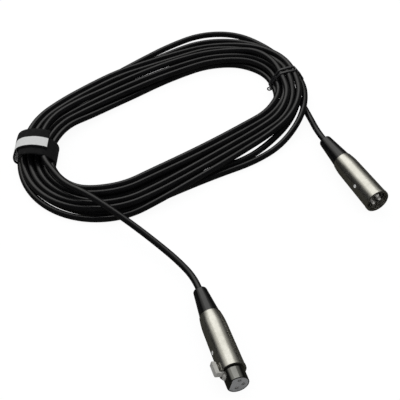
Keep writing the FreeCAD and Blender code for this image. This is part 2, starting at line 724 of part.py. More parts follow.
def make_plug():
    boot = sizes.male_boot_length
    start = boot + sizes.small_clearance
    neck_end = boot + sizes.boot_neck_length
    clamp = neck_end + sizes.clamp_gap
    cut_end = clamp + sizes.clamp_length + sizes.jacket_overhang
    cup = cut_end + sizes.male_conductor_room
    boss = cup + sizes.male_pin_tail
    seat = boss + sizes.male_insert_boss_length
    face = seat + sizes.male_insert_length
    front = face + sizes.male_bore_depth
    swell = start + sizes.shell_swell_length
    rim = front - sizes.male_rim_length
    stance = Stance(sizes.male_rear_x, sizes.male_rear_y, sizes.male_heading, sizes.male_roll,
                    ((sizes.male_swell_radius, swell), (sizes.male_rim_radius, rim)))
    place = stance.place
    screw_at = front - sizes.male_screw_setback
    edge = sizes.shell_edge_round

    make_boot("male_boot", boot, place)

    shell = turned("male_shell", [
        (sizes.boot_neck_radius + sizes.loose_clearance, start),
        (sizes.shell_rear_radius - edge, start, edge),
        (sizes.shell_rear_radius, start + edge, sizes.shell_swell_curve),
        (sizes.male_swell_radius, swell),
        (sizes.male_front_radius, rim),
        (sizes.male_rim_radius, rim),
        (sizes.male_rim_radius, front - edge, edge),
        (sizes.male_rim_radius - edge, front),
        (sizes.male_step_two_radius, front),
        (sizes.male_step_two_radius, front - sizes.male_step_depth),
        (sizes.male_step_one_radius, front - sizes.male_step_depth),
        (sizes.male_step_one_radius, front - sizes.male_step_depth * 2),
        (sizes.male_bore_radius, front - sizes.male_step_depth * 2),
        (sizes.male_bore_radius, seat),
        (sizes.shell_cavity_radius, seat),
        (sizes.shell_cavity_radius, neck_end),
        (sizes.boot_neck_radius + sizes.loose_clearance, neck_end),
    ])
    pocket_end = front - sizes.lever_hook_advance - sizes.pocket_end_gap
    pocket_length = sizes.lever_hook_length + sizes.pocket_end_gap * 2
    pocket_half = sizes.lever_width / 2 + sizes.pocket_side_gap
    pocket = block((sizes.male_bore_radius - 1, -pocket_half, pocket_end),
                   (sizes.male_bore_radius + sizes.pocket_depth, pocket_half,
                    pocket_end + pocket_length))
    hole = screw_hole(screw_at, False)
    keep(without(shell, [pocket, hole], "male_shell"), "male_shell", place)

    insert = turned("male_insert", [
        (0, boss),
        (sizes.male_insert_boss_radius, boss),
        (sizes.male_insert_boss_radius, seat),
        (sizes.male_bore_radius - sizes.small_clearance, seat),
        (sizes.male_bore_radius - sizes.small_clearance, face),
        (0, face),
    ])
    tools = [screw_hole(screw_at, True)]
    for number, across, along in CONTACT_WAYS:
        at = (sizes.contact_circle_radius * across, sizes.contact_circle_radius * along,
              boss - 1)
        tools.append(cylinder(COLLAR_RADIUS + sizes.small_clearance, face - boss + 2, at))
    keep(without(insert, tools, "male_insert"), "male_insert", place)

    tip = front - sizes.male_pin_inset
    for number, across, along in CONTACT_WAYS:
        name = "contact_pin_" + number
        rounding = sizes.pin_tip_round
        pin = turned(name, [
            (0, cup + sizes.cup_depth),
            (sizes.cup_bore_diameter / 2, cup + sizes.cup_depth),
            (sizes.cup_bore_diameter / 2, cup),
            (COLLAR_RADIUS, cup),
            (COLLAR_RADIUS, face),
            (PIN_RADIUS, face),
            (PIN_RADIUS, tip - rounding, rounding),
            (PIN_RADIUS - rounding, tip),
            (0, tip),
        ])
        offset = Vector(across, along, 0) * sizes.contact_circle_radius.value
        keep(pin, name, place.multiply(Placement(offset, Rotation())))

    make_clamp("male_cable_clamp", clamp, place)
    make_cable_end("male_cable_end", cut_end, place)
    ways = (("shield", 0, 1), ("hot", 0, -1), ("cold", -1, 0))
    make_conductors("male", cut_end, cup, ways, place)
    make_screw("male_retaining_screw", screw_at, place)
    return stance


# The socket

def make_socket():
    boot = sizes.female_boot_length
    start = boot + sizes.small_clearance
    lip = start + sizes.female_barrel_length
    neck_end = boot + sizes.boot_neck_length
    nose = lip + sizes.female_nose_length
    seat = lip - sizes.nose_seat_length
    face = nose - sizes.insert_inset
    rear = face - sizes.female_insert_length
    contact_end = face - sizes.insert_face_wall
    cup = rear - sizes.socket_tail
    swell = start + sizes.shell_swell_length
    lip_start = lip - sizes.female_lip_length
    stance = Stance(sizes.female_rear_x, sizes.female_rear_y, sizes.female_heading,
                    sizes.female_roll,
                    ((sizes.female_swell_radius, swell), (sizes.female_lip_radius, lip_start)))
    place = stance.place
    screw_at = lip - sizes.female_screw_setback
    edge = sizes.shell_edge_round
    pivot = lip - sizes.pivot_setback
    hook_front = lip + sizes.lever_hook_advance
    slot_half = sizes.lever_width / 2 + sizes.channel_side_gap
    shoulder = sizes.nose_radius + sizes.nose_shoulder

    make_boot("female_boot", boot, place)

    shell = turned("female_shell", [
        (sizes.boot_neck_radius + sizes.loose_clearance, start),
        (sizes.shell_rear_radius - edge, start, edge),
        (sizes.shell_rear_radius, start + edge, sizes.shell_swell_curve),
        (sizes.female_swell_radius, swell),
        (sizes.female_front_radius, lip_start),
        (sizes.female_lip_radius, lip_start),
        (sizes.female_lip_radius, lip - edge, edge),
        (sizes.female_lip_radius - edge, lip),
        (shoulder + sizes.small_clearance, lip),
        (shoulder + sizes.small_clearance, seat),
        (sizes.shell_cavity_radius, seat),
        (sizes.shell_cavity_radius, neck_end),
        (sizes.boot_neck_radius + sizes.loose_clearance, neck_end),
    ])
    hole = screw_hole(screw_at, False)
    keep(without(shell, [hole], "female_shell"), "female_shell", place)

    inner = sizes.nose_radius - sizes.nose_wall
    sleeve = turned("female_nose_sleeve", [
        (inner, seat),
        (shoulder, seat),
        (shoulder, lip),
        (sizes.nose_radius, lip),
        (sizes.nose_radius, nose - edge, edge),
        (sizes.nose_radius - edge, nose),
        (0, nose),
        (0, nose - sizes.nose_end_wall),
        (inner, nose - sizes.nose_end_wall),
    ])
    opening = doc.addObject("Part::Cut", "nose_opening")
    opening.Base = cylinder(inner, sizes.nose_end_wall + 2,
                            (0, 0, nose - sizes.nose_end_wall - 1))
    flat = sizes.insert_flat + sizes.small_clearance
    opening.Tool = block((flat, -inner - 1, nose - sizes.nose_end_wall - 2),
                         (inner + 1, inner + 1, nose + 2))
    window = block((0, -slot_half, lip),
                   (sizes.nose_radius + 1, slot_half, hook_front + sizes.slot_front_gap))
    keep(without(sleeve, [opening, window], "female_nose_sleeve"),
         "female_nose_sleeve", place)

    radius = inner - sizes.small_clearance
    insert = turned("female_insert", [(0, rear), (radius, rear), (radius, face), (0, face)])
    tools = [screw_hole(screw_at, True)]
    channel_rear = pivot - sizes.lever_eye_radius - sizes.channel_side_gap
    tools.append(block((sizes.channel_floor, -slot_half, channel_rear),
                       (radius + 1, slot_half, hook_front + sizes.slot_front_gap)))
    tools.append(block((sizes.insert_flat, -radius - 1,
                        nose - sizes.nose_end_wall - sizes.small_clearance),
                       (radius + 1, radius + 1, face + 1)))
    bore = sizes.pivot_radius + sizes.small_clearance
    tools.append(cylinder(bore, radius * 2 + 2, (sizes.pivot_height, -radius - 1, pivot),
                          Vector(0, 1, 0)))
    for number, across, along in CONTACT_WAYS:
        x = sizes.contact_circle_radius * across
        y = sizes.contact_circle_radius * -along
        outer = sizes.socket_outer_diameter / 2 + sizes.small_clearance
        tools.append(cylinder(outer, contact_end - rear + 1, (x, y, rear - 1)))
        tools.append(cylinder(sizes.entry_hole_radius, sizes.insert_face_wall + 2,
                              (x, y, contact_end - 1)))
    keep(without(insert, tools, "female_insert"), "female_insert", place)

    for number, across, along in CONTACT_WAYS:
        name = "socket_contact_" + number
        contact = turned(name, [
            (0, cup + sizes.cup_depth),
            (sizes.cup_bore_diameter / 2, cup + sizes.cup_depth),
            (sizes.cup_bore_diameter / 2, cup),
            (sizes.socket_outer_diameter / 2, cup),
            (sizes.socket_outer_diameter / 2, contact_end),
            (sizes.socket_bore_diameter / 2, contact_end),
            (sizes.socket_bore_diameter / 2, contact_end - sizes.socket_bore_depth),
            (0, contact_end - sizes.socket_bore_depth),
        ])
        offset = Vector(across, -along, 0) * sizes.contact_circle_radius.value
        keep(contact, name, place.multiply(Placement(offset, Rotation())))

    make_latch(lip, pivot, hook_front, place)
    clamp = neck_end + sizes.clamp_gap
    cut_end = clamp + sizes.clamp_length + sizes.jacket_overhang
    make_clamp("female_cable_clamp", clamp, place)
    make_cable_end("female_cable_end", cut_end, place)
    ways = (("shield", 0, -1), ("hot", 0, 1), ("cold", -1, 0))
    make_conductors("female", cut_end, cup, ways, place)
    make_screw("female_retaining_screw", screw_at, place)
    return stance


def make_latch(lip, pivot, hook_front, place):
    """Sheet lever with its thumb pad and hook, the pin it turns on and its leaf spring."""
    arm_low = sizes.lever_arm_height
    arm_high = arm_low + sizes.lever_thickness
    leg_rear = lip + sizes.lever_leg_gap
    leg_front = leg_rear + sizes.lever_thickness
    pad_high = sizes.lever_pad_height
    pad_low = pad_high - sizes.lever_thickness
    pad_rear = leg_front - sizes.lever_pad_length
    hook_rear = hook_front - sizes.lever_hook_length
    bend = sizes.lever_thickness
    sheet = extruded("latch_lever", [
        (arm_low, pivot),
        (arm_high, pivot),
        (arm_high, leg_rear),
        (pad_low, leg_rear),
        (pad_low, pad_rear),
        (pad_high, pad_rear),
        (pad_high, leg_front - bend, bend),
        (pad_high - bend, leg_front),
        (arm_high, leg_front),
        (arm_high, hook_rear),
        (sizes.lever_hook_height, hook_rear),
        (sizes.lever_hook_height, hook_front - 0.8),
        (arm_high + 0.3, hook_front),
        (arm_low, hook_front),
    ], sizes.lever_width)
    cheek_low = sizes.lever_cheek_height
    cheek_slab = extruded("latch_cheeks", [
        (cheek_low, pad_rear + 0.6),
        (pad_low + 0.2, pad_rear),
        (pad_low + 0.2, leg_front - 0.2),
        (cheek_low, leg_front - 0.2),
    ], sizes.lever_width)
    inside = sizes.lever_width / 2 - sizes.lever_cheek_wall
    between_cheeks = block((cheek_low - 1, -inside, pad_rear - 1), (pad_low, inside, leg_rear))
    cheeks = without(cheek_slab, [between_cheeks], "latch_cheeks")
    across = Vector(0, 1, 0)
    half = sizes.lever_width / 2
    eye = cylinder(sizes.lever_eye_radius, sizes.lever_width,
                   (sizes.pivot_height, -half, pivot), across)
    bore = cylinder(sizes.pivot_radius + sizes.pivot_clearance, sizes.lever_width + 2,
                    (sizes.pivot_height, -half - 1, pivot), across)
    lever = without(joined([sheet, cheeks, eye], "latch_lever"), [bore], "latch_lever")
    keep(lever, "latch_lever", place)

    pin = cylinder(sizes.pivot_radius, sizes.pivot_length, None, None)
    pin_place = Placement(Vector(sizes.pivot_height.value, -sizes.pivot_length.value / 2,
                                 pivot.value), Rotation(UP, across))
    keep(pin, "latch_pivot_pin", place.multiply(pin_place))

    floor = sizes.channel_floor
    sheet = sizes.spring_thickness
    tip_low = arm_low - sizes.spring_gap - sheet
    tip_at = pivot + sizes.lever_eye_radius + sizes.spring_gap * 2
    heel = tip_at + sizes.spring_reach
    leaf = extruded("latch_spring", [
        (floor, heel),
        (tip_low, tip_at),
        (tip_low + sheet, tip_at),
        (floor + sheet, heel),
        (floor + sheet, heel + sizes.spring_foot),
        (floor, heel + sizes.spring_foot),
    ], sizes.spring_width)
    keep(leaf, "latch_spring", place)


plug = make_plug()
socket = make_socket()


# The two leads

def make_lead(name, points):
    edges, radii = rounded_route(points)
    diameter = sizes.cable_diameter.value
    shape, length = tube(edges, diameter)
    plain_part(name, shape)
    report_tube(name, shape, length, diameter, radii)
    lowest = min(point.z for point in centre_points(edges, 1.0)) - diameter / 2
    print("   lowest point %.2f" % lowest)
    gap, other = tube_gap(edges, coil_edges, diameter)
    print("   least gap to the hank %.2f near (%.0f, %.0f, %.1f)"
          % (gap, other.x, other.y, other.z))
    return edges


def centre_points(edges, spacing):
    """Points along a route, at most so far apart."""
    found = []
    for edge in edges:
        count = max(1, int(math.ceil(edge.Length / spacing)))
        for index in range(count):
            share = index / count
            where = edge.FirstParameter + share * (edge.LastParameter - edge.FirstParameter)
            found.append(edge.valueAt(where))
    return found


def tube_gap(edges, others, diameter):
    """Least clear distance of a lead to the hank, away from the end where they join."""
    mine = centre_points(edges, 2.0)
    join = mine[0]
    mine = mine[int(4 * diameter / 2.0):]
    theirs = [point for point in centre_points(others, 2.0)
              if point.distanceToPoint(join) > 4 * diameter]
    best = min((point.distanceToPoint(other), index) for index, point in enumerate(mine)
               for other in theirs)
    return best[0] - diameter, mine[best[1]]


FEMALE_LEAD = [(-105.7, 56.45, 17.8), (-99.2, 32.45, 16.2), (-92.7, 7.45, 13.2),
               (-88.0, -15.55, 10.6), (-85.2, -34.55, 9.0)]
MALE_LEAD = [(103.7, 55.25, 3.1), (94.5, 28.25, 2.65)]


def lead_points(start, middle, stance, run):
    """From the hank's end through the given points, straight into a boot."""
    points = [start, start - Vector(0, 11, 0)] + [Vector(*point) for point in middle]
    return points + [stance.rear - stance.axis * run, stance.rear]


female_edges = make_lead("female_lead", lead_points(coil_finish, FEMALE_LEAD, socket, 12))
male_edges = make_lead("male_lead", lead_points(coil_start, MALE_LEAD, plug, 10.5))


# The strap and the tie round the bundle

class Section:
    """The bundle cut square at one place of a tip: outwards is across, up is along."""

    def __init__(self, angle, sign):
        end_centre = hank_side()[0]
        angle = math.radians(angle)
        self.out = Vector(math.cos(angle), math.sin(angle), 0)
        self.way = Vector(-math.sin(angle), math.cos(angle), 0)
        centre = Vector(sizes.coil_centre_x.value + sign * end_centre,
                        sizes.coil_centre_y.value, 0)
        self.middle = centre + self.out * sizes.coil_end_radius.value

    def strands(self, edges, shift):
        """Where the tubes pass a plane so far along the bundle."""
        plane = self.middle + self.way * shift
        points = centre_points(edges, 1.0)
        found = []
        for first, second in zip(points, points[1:]):
            before = (first - plane).dot(self.way)
            after = (second - plane).dot(self.way)
            if before * after <= 0 and (first - plane).Length < 40:
                share = before / (before - after) if before != after else 0.0
                point = first + (second - first) * share
                found.append(((point - plane).dot(self.out), point.z))
        return found

    def lift(self, across, along, shift=0.0):
        """Point in space of a place in the section."""
        return self.middle + self.out * across + UP * along + self.way * shift


def hull(points):
    """Corners of the convex outline round the points, counter-clockwise."""
    points = sorted(set(points))

    def half(order):
        chain = []
        for point in order:
            while len(chain) > 1 and turn(chain[-2], chain[-1], point) <= 0:
                chain.pop()
            chain.append(point)
        return chain[:-1]

    return half(points) + half(points[::-1])


def turn(a, b, c):
    return (b[0] - a[0]) * (c[1] - a[1]) - (b[1] - a[1]) * (c[0] - a[0])


def pruned(corners, least=2.5):
    """The corners without those that lie close to one another."""
    kept = []
    for corner in corners:
        if not kept or math.dist(kept[-1], corner) > least:
            kept.append(corner)
    if math.dist(kept[0], kept[-1]) < least:
        kept.pop()
    return kept


def belt(pulleys):
    """Tangent points of a belt that runs counter-clockwise round pulleys (centre, radius)."""
    runs = []
    for (one, radius), (two, other) in zip(pulleys, pulleys[1:]):
        along = Vector(two[0] - one[0], two[1] - one[1], 0)
        length = along.Length
        along.normalize()
        outward = Vector(along.y, -along.x, 0)
        lean = (radius - other) / length
        normal = outward * math.sqrt(1 - lean * lean) + along * lean
        runs.append((Vector(one[0], one[1], 0) + normal * radius,
                     Vector(two[0], two[1], 0) + normal * other))
    return runs


def belt_edges(pulleys, section, shift=0.0, first_share=0.0, last_share=1.0):
    """Edges of the belt in space, cut short at both ends, with arcs on the pulleys."""
    runs = belt(pulleys)
    start, finish = runs[0]
    runs[0] = (start + (finish - start) * first_share, finish)
    start, finish = runs[-1]
    runs[-1] = (start, start + (finish - start) * last_share)
    edges = []
    for index, (start, finish) in enumerate(runs):
        if index:
            centre, radius = pulleys[index]
            before = runs[index - 1][1]
            middle = (before + start) * 0.5 - Vector(centre[0], centre[1], 0)
            top = Vector(centre[0], centre[1], 0) + middle.normalize() * radius
            edges.append(Part.Arc(section.lift(before.x, before.y, shift),
                                  section.lift(top.x, top.y, shift),
                                  section.lift(start.x, start.y, shift)).toShape())
        edges.append(Part.LineSegment(section.lift(start.x, start.y, shift),
                                      section.lift(finish.x, finish.y, shift)).toShape())
    return edges


def band(edges, section, width, thickness):
    """Flat band along the edges, its width along the bundle."""
    start = edges[0].valueAt(edges[0].FirstParameter)
    heading = edges[0].tangentAt(edges[0].FirstParameter)
    up = heading.cross(section.way) * (thickness / 2)
    side = section.way * (width / 2)
    corners = [start + up + side, start + up - side, start - up - side, start - up + side]
    ring = Part.makePolygon(corners + corners[:1])
    return Part.Wire(edges).makePipeShell([ring], True, False)


def make_strap():
    """Strip that starts on the outside, runs once round and on over its own start."""
    section = Section(sizes.strap_angle.value, -1)
    half = sizes.strap_width.value / 2
    points = []
    for shift in (-half, 0.0, half):
        points += section.strands(coil_edges, shift)
    thickness = sizes.strap_thickness.value
    near = (sizes.cable_diameter / 2 + sizes.wrap_gap).value + thickness / 2
    far = near + thickness + 0.1
    corners = pruned(hull(points))
    top = max(range(len(corners)), key=lambda index: corners[index][1])
    order = corners[top:] + corners[:top]
    right = order[-1]
    pulleys = [(right, near)] + [(corner, near) for corner in order[:-1]]
    pulleys += [(right, far), (order[0], far), (order[1], far)]
    edges = belt_edges(pulleys, section, 0.0, 0.12, 0.45)
    shape = band(edges, section, sizes.strap_width.value, thickness)
    plain_part("hook_and_loop_strap", shape)
    print("strap: %d corners, volume %.1f, lowest %.2f"
          % (len(corners), shape.Volume, shape.BoundBox.ZMin))


def make_tie():
    """Two wraps of a thin tie, joined by their twisted ends inside the hank."""
    section = Section(sizes.tie_angle.value, 1)
    spacing = sizes.tie_spacing.value
    half = (spacing + sizes.tie_width.value) / 2
    points = []
    for shift in (-half, 0.0, half):
        points += section.strands(coil_edges, shift)
        points += section.strands(male_edges, shift)
    thickness = sizes.tie_thickness.value
    radius = (sizes.cable_diameter / 2 + sizes.wrap_gap).value + thickness / 2
    corners = pruned(hull(points))
    left = min(range(len(corners)), key=lambda index: corners[index][0])
    order = corners[left:] + corners[:left] + [corners[left]]
    pulleys = [(corner, radius) for corner in order]
    pieces = []
    for shift in (-spacing / 2, spacing / 2):
        runs = belt_edges(pulleys + [pulleys[1]], section, shift, 0.5, 0.5)
        pieces.append(band(runs, section, sizes.tie_width.value, thickness))
    across, along = corners[left]
    start = section.lift(across - radius - 0.3, along + 0.5, spacing / 2 + 1.0)
    way = (section.way * -0.93 - section.out * 0.22 - UP * 0.1).normalize()
    tail = Part.makeCylinder(sizes.tie_tail_radius.value, sizes.tie_tail_length.value,
                             start, way)
    shape = pieces[0].fuse([pieces[1], tail]).removeSplitter()
    plain_part("twist_tie", shape)
    print("tie: solids %d, volume %.1f, lowest %.2f"
          % (len(shape.Solids), shape.Volume, shape.BoundBox.ZMin))


make_strap()
make_tie()


def finish_document():
    doc.recompute()
    for thing in doc.Objects:
        if "Invalid" in thing.State or "Error" in thing.State:
            raise SystemExit("failed: %s %s" % (thing.Label, thing.State))
    os.makedirs("parts", exist_ok=True)
    for thing in parts:
        shape = thing.Shape
        if shape.isNull() or not shape.isValid():
            raise SystemExit("bad shape: " + thing.Label)
        shape.exportStep(os.path.join("parts", thing.Label + ".step"))
        print("%-24s solids %d  volume %.1f" % (thing.Label, len(shape.Solids), shape.Volume))


finish_document()
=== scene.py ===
"""Looks of the coiled microphone cable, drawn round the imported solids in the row's frame.

The cable, the strap and the twist tie are drawn here in place of their solids. All other
pieces show the solids themselves, with a material. The cable and the bands are worked out
in millimetres and handed to Blender in metres; camera, lamp and floor are in metres.
"""
import bpy
import bmesh
import math
import numpy as np
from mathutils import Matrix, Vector


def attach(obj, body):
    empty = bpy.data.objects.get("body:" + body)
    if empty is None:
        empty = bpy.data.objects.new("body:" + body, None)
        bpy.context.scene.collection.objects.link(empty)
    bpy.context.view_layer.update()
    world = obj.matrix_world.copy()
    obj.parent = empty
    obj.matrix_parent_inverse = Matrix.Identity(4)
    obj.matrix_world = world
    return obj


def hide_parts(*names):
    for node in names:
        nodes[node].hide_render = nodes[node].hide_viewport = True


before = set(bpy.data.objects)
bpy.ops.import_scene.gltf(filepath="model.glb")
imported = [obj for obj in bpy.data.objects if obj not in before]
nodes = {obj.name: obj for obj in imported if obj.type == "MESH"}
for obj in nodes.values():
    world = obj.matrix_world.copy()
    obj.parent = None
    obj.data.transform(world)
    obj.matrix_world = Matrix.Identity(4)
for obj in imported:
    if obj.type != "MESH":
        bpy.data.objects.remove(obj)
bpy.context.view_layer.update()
MM = 0.001
UP = Vector((0, 0, 1))


def place_object(name, data):
    """New object in the scene."""
    thing = bpy.data.objects.new(name, data)
    bpy.context.scene.collection.objects.link(thing)
    return thing


def opaque(colour):
    """The colour with an alpha of 1."""
    return tuple(colour) + (1,)


# Camera, light and floor

CAMERA_PLACE = Vector((-0.4100, -0.49165, 0.6751))
CAMERA_TARGET = Vector((-0.0312, 0.01115, 0.0))
LENS = 108.0
SENSOR = 36.0

LAMP_PLACE = Vector((0.3, 0.9, 1.16))
LAMP_SIZE = 1.4
LAMP_POWER = 3.4

# Strength of the even light on the object, of the bright panel that glossy pieces reflect,
# and of the dim studio round that panel
ROOM = 0.75
PANEL = 0.75
DIM = 0.02
# Edges of the panel: axis of the direction, from where to where it changes, and its strength
# at both ends
PANEL_EDGES = [("X", -0.52, -0.34, 0.0, 1.0), ("X", 0.40, 0.90, 1.0, 0.25),
               ("Z", 0.22, 0.48, 0.0, 1.0), ("Z", 0.84, 0.92, 1.0, 0.0),
               ("Y", 0.05, 0.30, 0.0, 1.0)]

FLOOR_HALF = 6.0
# The floor as the camera sees it: its strength in the open and the strength of the painted
# shadow where something touches it, how far off a piece still darkens it with that painted
# shadow, the share of open sky at which it is darkest and at which it is white, and the share
# of this glow beside the plain lit floor
FLOOR_OPEN = 1.06
FLOOR_PAINTED_SHADOW = 0.05
SHADOW_REACH = 0.005
SHADOW_EDGES = (0.02, 0.10)
FLOOR_GLOW = 0.88


def make_camera():
    """Camera of the photograph."""
    data = bpy.data.cameras.new("camera")
    data.sensor_width = SENSOR
    data.sensor_fit = "HORIZONTAL"
    data.lens = LENS
    data.clip_start = 0.01
    data.clip_end = 20.0
    camera = place_object("camera", data)
    camera.location = CAMERA_PLACE
    heading = CAMERA_TARGET - CAMERA_PLACE
    camera.rotation_euler = heading.to_track_quat("-Z", "Y").to_euler()
    bpy.context.scene.camera = camera


def make_lamp():
    """Round soft lamp aimed at the frame's origin."""
    data = bpy.data.lights.new("softbox", "AREA")
    data.shape = "DISK"
    data.size = LAMP_SIZE
    data.energy = LAMP_POWER
    lamp = place_object("softbox", data)
    lamp.location = LAMP_PLACE
    lamp.rotation_euler = (-LAMP_PLACE).to_track_quat("-Z", "Y").to_euler()


def maths(tree, operation, *values):
    """Math node on sockets or numbers."""
    node = tree.nodes.new("ShaderNodeMath")
    node.operation = operation
    for socket, value in zip(node.inputs, values):
        if isinstance(value, (int, float)):
            socket.default_value = value
        else:
            tree.links.new(value, socket)
    return node.outputs[0]


def spread(tree, value, low, high, to_low, to_high):
    """Map Range node: the value taken from one range to another, and clamped there."""
    node = tree.nodes.new("ShaderNodeMapRange")
    node.inputs["From Min"].default_value = low
    node.inputs["From Max"].default_value = high
    node.inputs["To Min"].default_value = to_low
    node.inputs["To Max"].default_value = to_high
    tree.links.new(value, node.inputs["Value"])
    return node.outputs["Result"]


def mix_shaders(tree, factor, first, second):
    """Mix Shader node; the factor is a socket or a number."""
    node = tree.nodes.new("ShaderNodeMixShader")
    if isinstance(factor, (int, float)):
        node.inputs["Fac"].default_value = factor
    else:
        tree.links.new(factor, node.inputs["Fac"])
    tree.links.new(first, node.inputs[1])
    tree.links.new(second, node.inputs[2])
    return node.outputs[0]


def seen_directly(tree, path):
    """1 for rays from the camera, also through something clear."""
    return maths(tree, "MAXIMUM", path.outputs["Is Camera Ray"],
                 path.outputs["Is Transmission Ray"])


def make_world():
    """White backdrop for the camera, even light, and a darker studio in the reflections."""
    world = bpy.data.worlds.new("studio")
    bpy.context.scene.world = world
    world.use_nodes = True
    tree = world.node_tree
    tree.nodes.clear()
    path = tree.nodes.new("ShaderNodeLightPath")
    where = tree.nodes.new("ShaderNodeTexCoord")
    split = tree.nodes.new("ShaderNodeSeparateXYZ")
    tree.links.new(where.outputs["Generated"], split.inputs[0])
    panel = PANEL
    for axis, low, high, to_low, to_high in PANEL_EDGES:
        edge = spread(tree, split.outputs[axis], low, high, to_low, to_high)
        panel = maths(tree, "MULTIPLY", edge, panel)
    reflected = tree.nodes.new("ShaderNodeBackground")
    reflected.inputs["Color"].default_value = opaque((1, 0.99, 0.94))
    tree.links.new(maths(tree, "ADD", panel, DIM), reflected.inputs["Strength"])
    room = tree.nodes.new("ShaderNodeBackground")
    room.inputs["Color"].default_value = opaque((0.97, 0.98, 1.0))
    room.inputs["Strength"].default_value = ROOM
    white = tree.nodes.new("ShaderNodeBackground")
    white.inputs["Color"].default_value = opaque((1, 1, 1))
    white.inputs["Strength"].default_value = 1.0
    light = mix_shaders(tree, path.outputs["Is Glossy Ray"], room.outputs[0],
                        reflected.outputs[0])
    backdrop = mix_shaders(tree, seen_directly(tree, path), light, white.outputs[0])
    output = tree.nodes.new("ShaderNodeOutputWorld")
    tree.links.new(backdrop, output.inputs["Surface"])


def make_floor():
    """White floor with a painted shadow near the object, a little real shadow, dark in
    reflections.
    """
    corners = [(-FLOOR_HALF, -FLOOR_HALF, 0), (FLOOR_HALF, -FLOOR_HALF, 0),
               (FLOOR_HALF, FLOOR_HALF, 0), (-FLOOR_HALF, FLOOR_HALF, 0)]
    mesh = bpy.data.meshes.new("floor")
    mesh.from_pydata(corners, [], [(0, 1, 2, 3)])
    floor = place_object("floor", mesh)
    material = bpy.data.materials.new("floor_white")
    material.use_nodes = True
    tree = material.node_tree
    tree.nodes.clear()
    path = tree.nodes.new("ShaderNodeLightPath")
    paint = tree.nodes.new("ShaderNodeBsdfDiffuse")
    paint.inputs["Color"].default_value = opaque((0.8, 0.8, 0.8))
    dark = tree.nodes.new("ShaderNodeEmission")
    dark.inputs["Color"].default_value = opaque((0.040, 0.039, 0.033))
    glow = tree.nodes.new("ShaderNodeEmission")
    glow.inputs["Color"].default_value = opaque((1, 1, 1))
    # Painted shadow: ambient occlusion dims the floor's glow where the object lies near it
    near = tree.nodes.new("ShaderNodeAmbientOcclusion")
    near.inputs["Distance"].default_value = SHADOW_REACH
    near.samples = 16
    strength = spread(tree, near.outputs["AO"], *SHADOW_EDGES, FLOOR_PAINTED_SHADOW, FLOOR_OPEN)
    tree.links.new(strength, glow.inputs["Strength"])
    unseen = mix_shaders(tree, path.outputs["Is Glossy Ray"], paint.outputs[0],
                         dark.outputs[0])
    seen = mix_shaders(tree, FLOOR_GLOW, paint.outputs[0], glow.outputs[0])
    output = tree.nodes.new("ShaderNodeOutputMaterial")
    tree.links.new(mix_shaders(tree, seen_directly(tree, path), unseen, seen),
                   output.inputs["Surface"])
    mesh.materials.append(material)


bpy.context.scene.view_settings.view_transform = "Standard"
make_camera()
make_world()
make_floor()
make_lamp()


# The cable: one spline from the plug's boot through the hank to the socket's boot

# The path of the solid, the same as in the part's source
CABLE_DIAMETER = 5.0
RADIUS = CABLE_DIAMETER / 2
CENTRE = np.array((-3.2, 91.45, 0.0))
HALF_LENGTH = 114.0
HALF_WIDTH = 58.5
END_RADIUS = 56.0
PITCH = 5.6
LAYER = 5.46
LOWEST = 1.5 + RADIUS
FAR_BOW = 5.0
NEAR_BOW = 3.5
TURNS = 10.5
# By turn: how many pitches out and how many layers up the tube lies, and how much of the
# bows at the near and the far side it takes
RANKS = [(0, 2), (2, 0), (2.25, -0.15), (2.5, 0), (4.5, 2.03), (4.625, 2.3), (5, 3), (7, 5),
         (7.25, 5.2), (7.5, 5), (9.5, 3), (9.75, 2.7), (9.875, 2.6), (10, 2.25), (10.5, 1.5)]
LAYERS = [(0, 0), (2, 0), (2.5, 1), (4.375, 1), (4.5, 0.9), (4.625, 0.4), (4.75, 0),
          (4.875, 1), (5, 1), (5.25, 0), (5.625, 0), (5.75, 0.5), (5.875, 1), (6, 1),
          (6.25, 0), (6.625, 0), (6.75, 0.7), (6.875, 1), (7, 1), (7.25, 0.6), (7.5, 1),
          (7.625, 1), (7.75, 1.7), (7.875, 2), (8, 2), (8.25, 1), (8.625, 1), (8.75, 1.5),
          (8.875, 2), (9, 2), (9.25, 1), (9.375, 1), (9.5, 1.15), (9.625, 1.45),
          (9.75, 1.4), (9.875, 2), (10.5, 2)]
NEAR_MARKS = [(0, 0), (6.625, 0), (6.75, 0.3), (6.875, 1), (7, 0)]
FAR_MARKS = [(0, 0), (7, 0), (7.125, 1), (7.25, 0.3), (7.375, 0)]
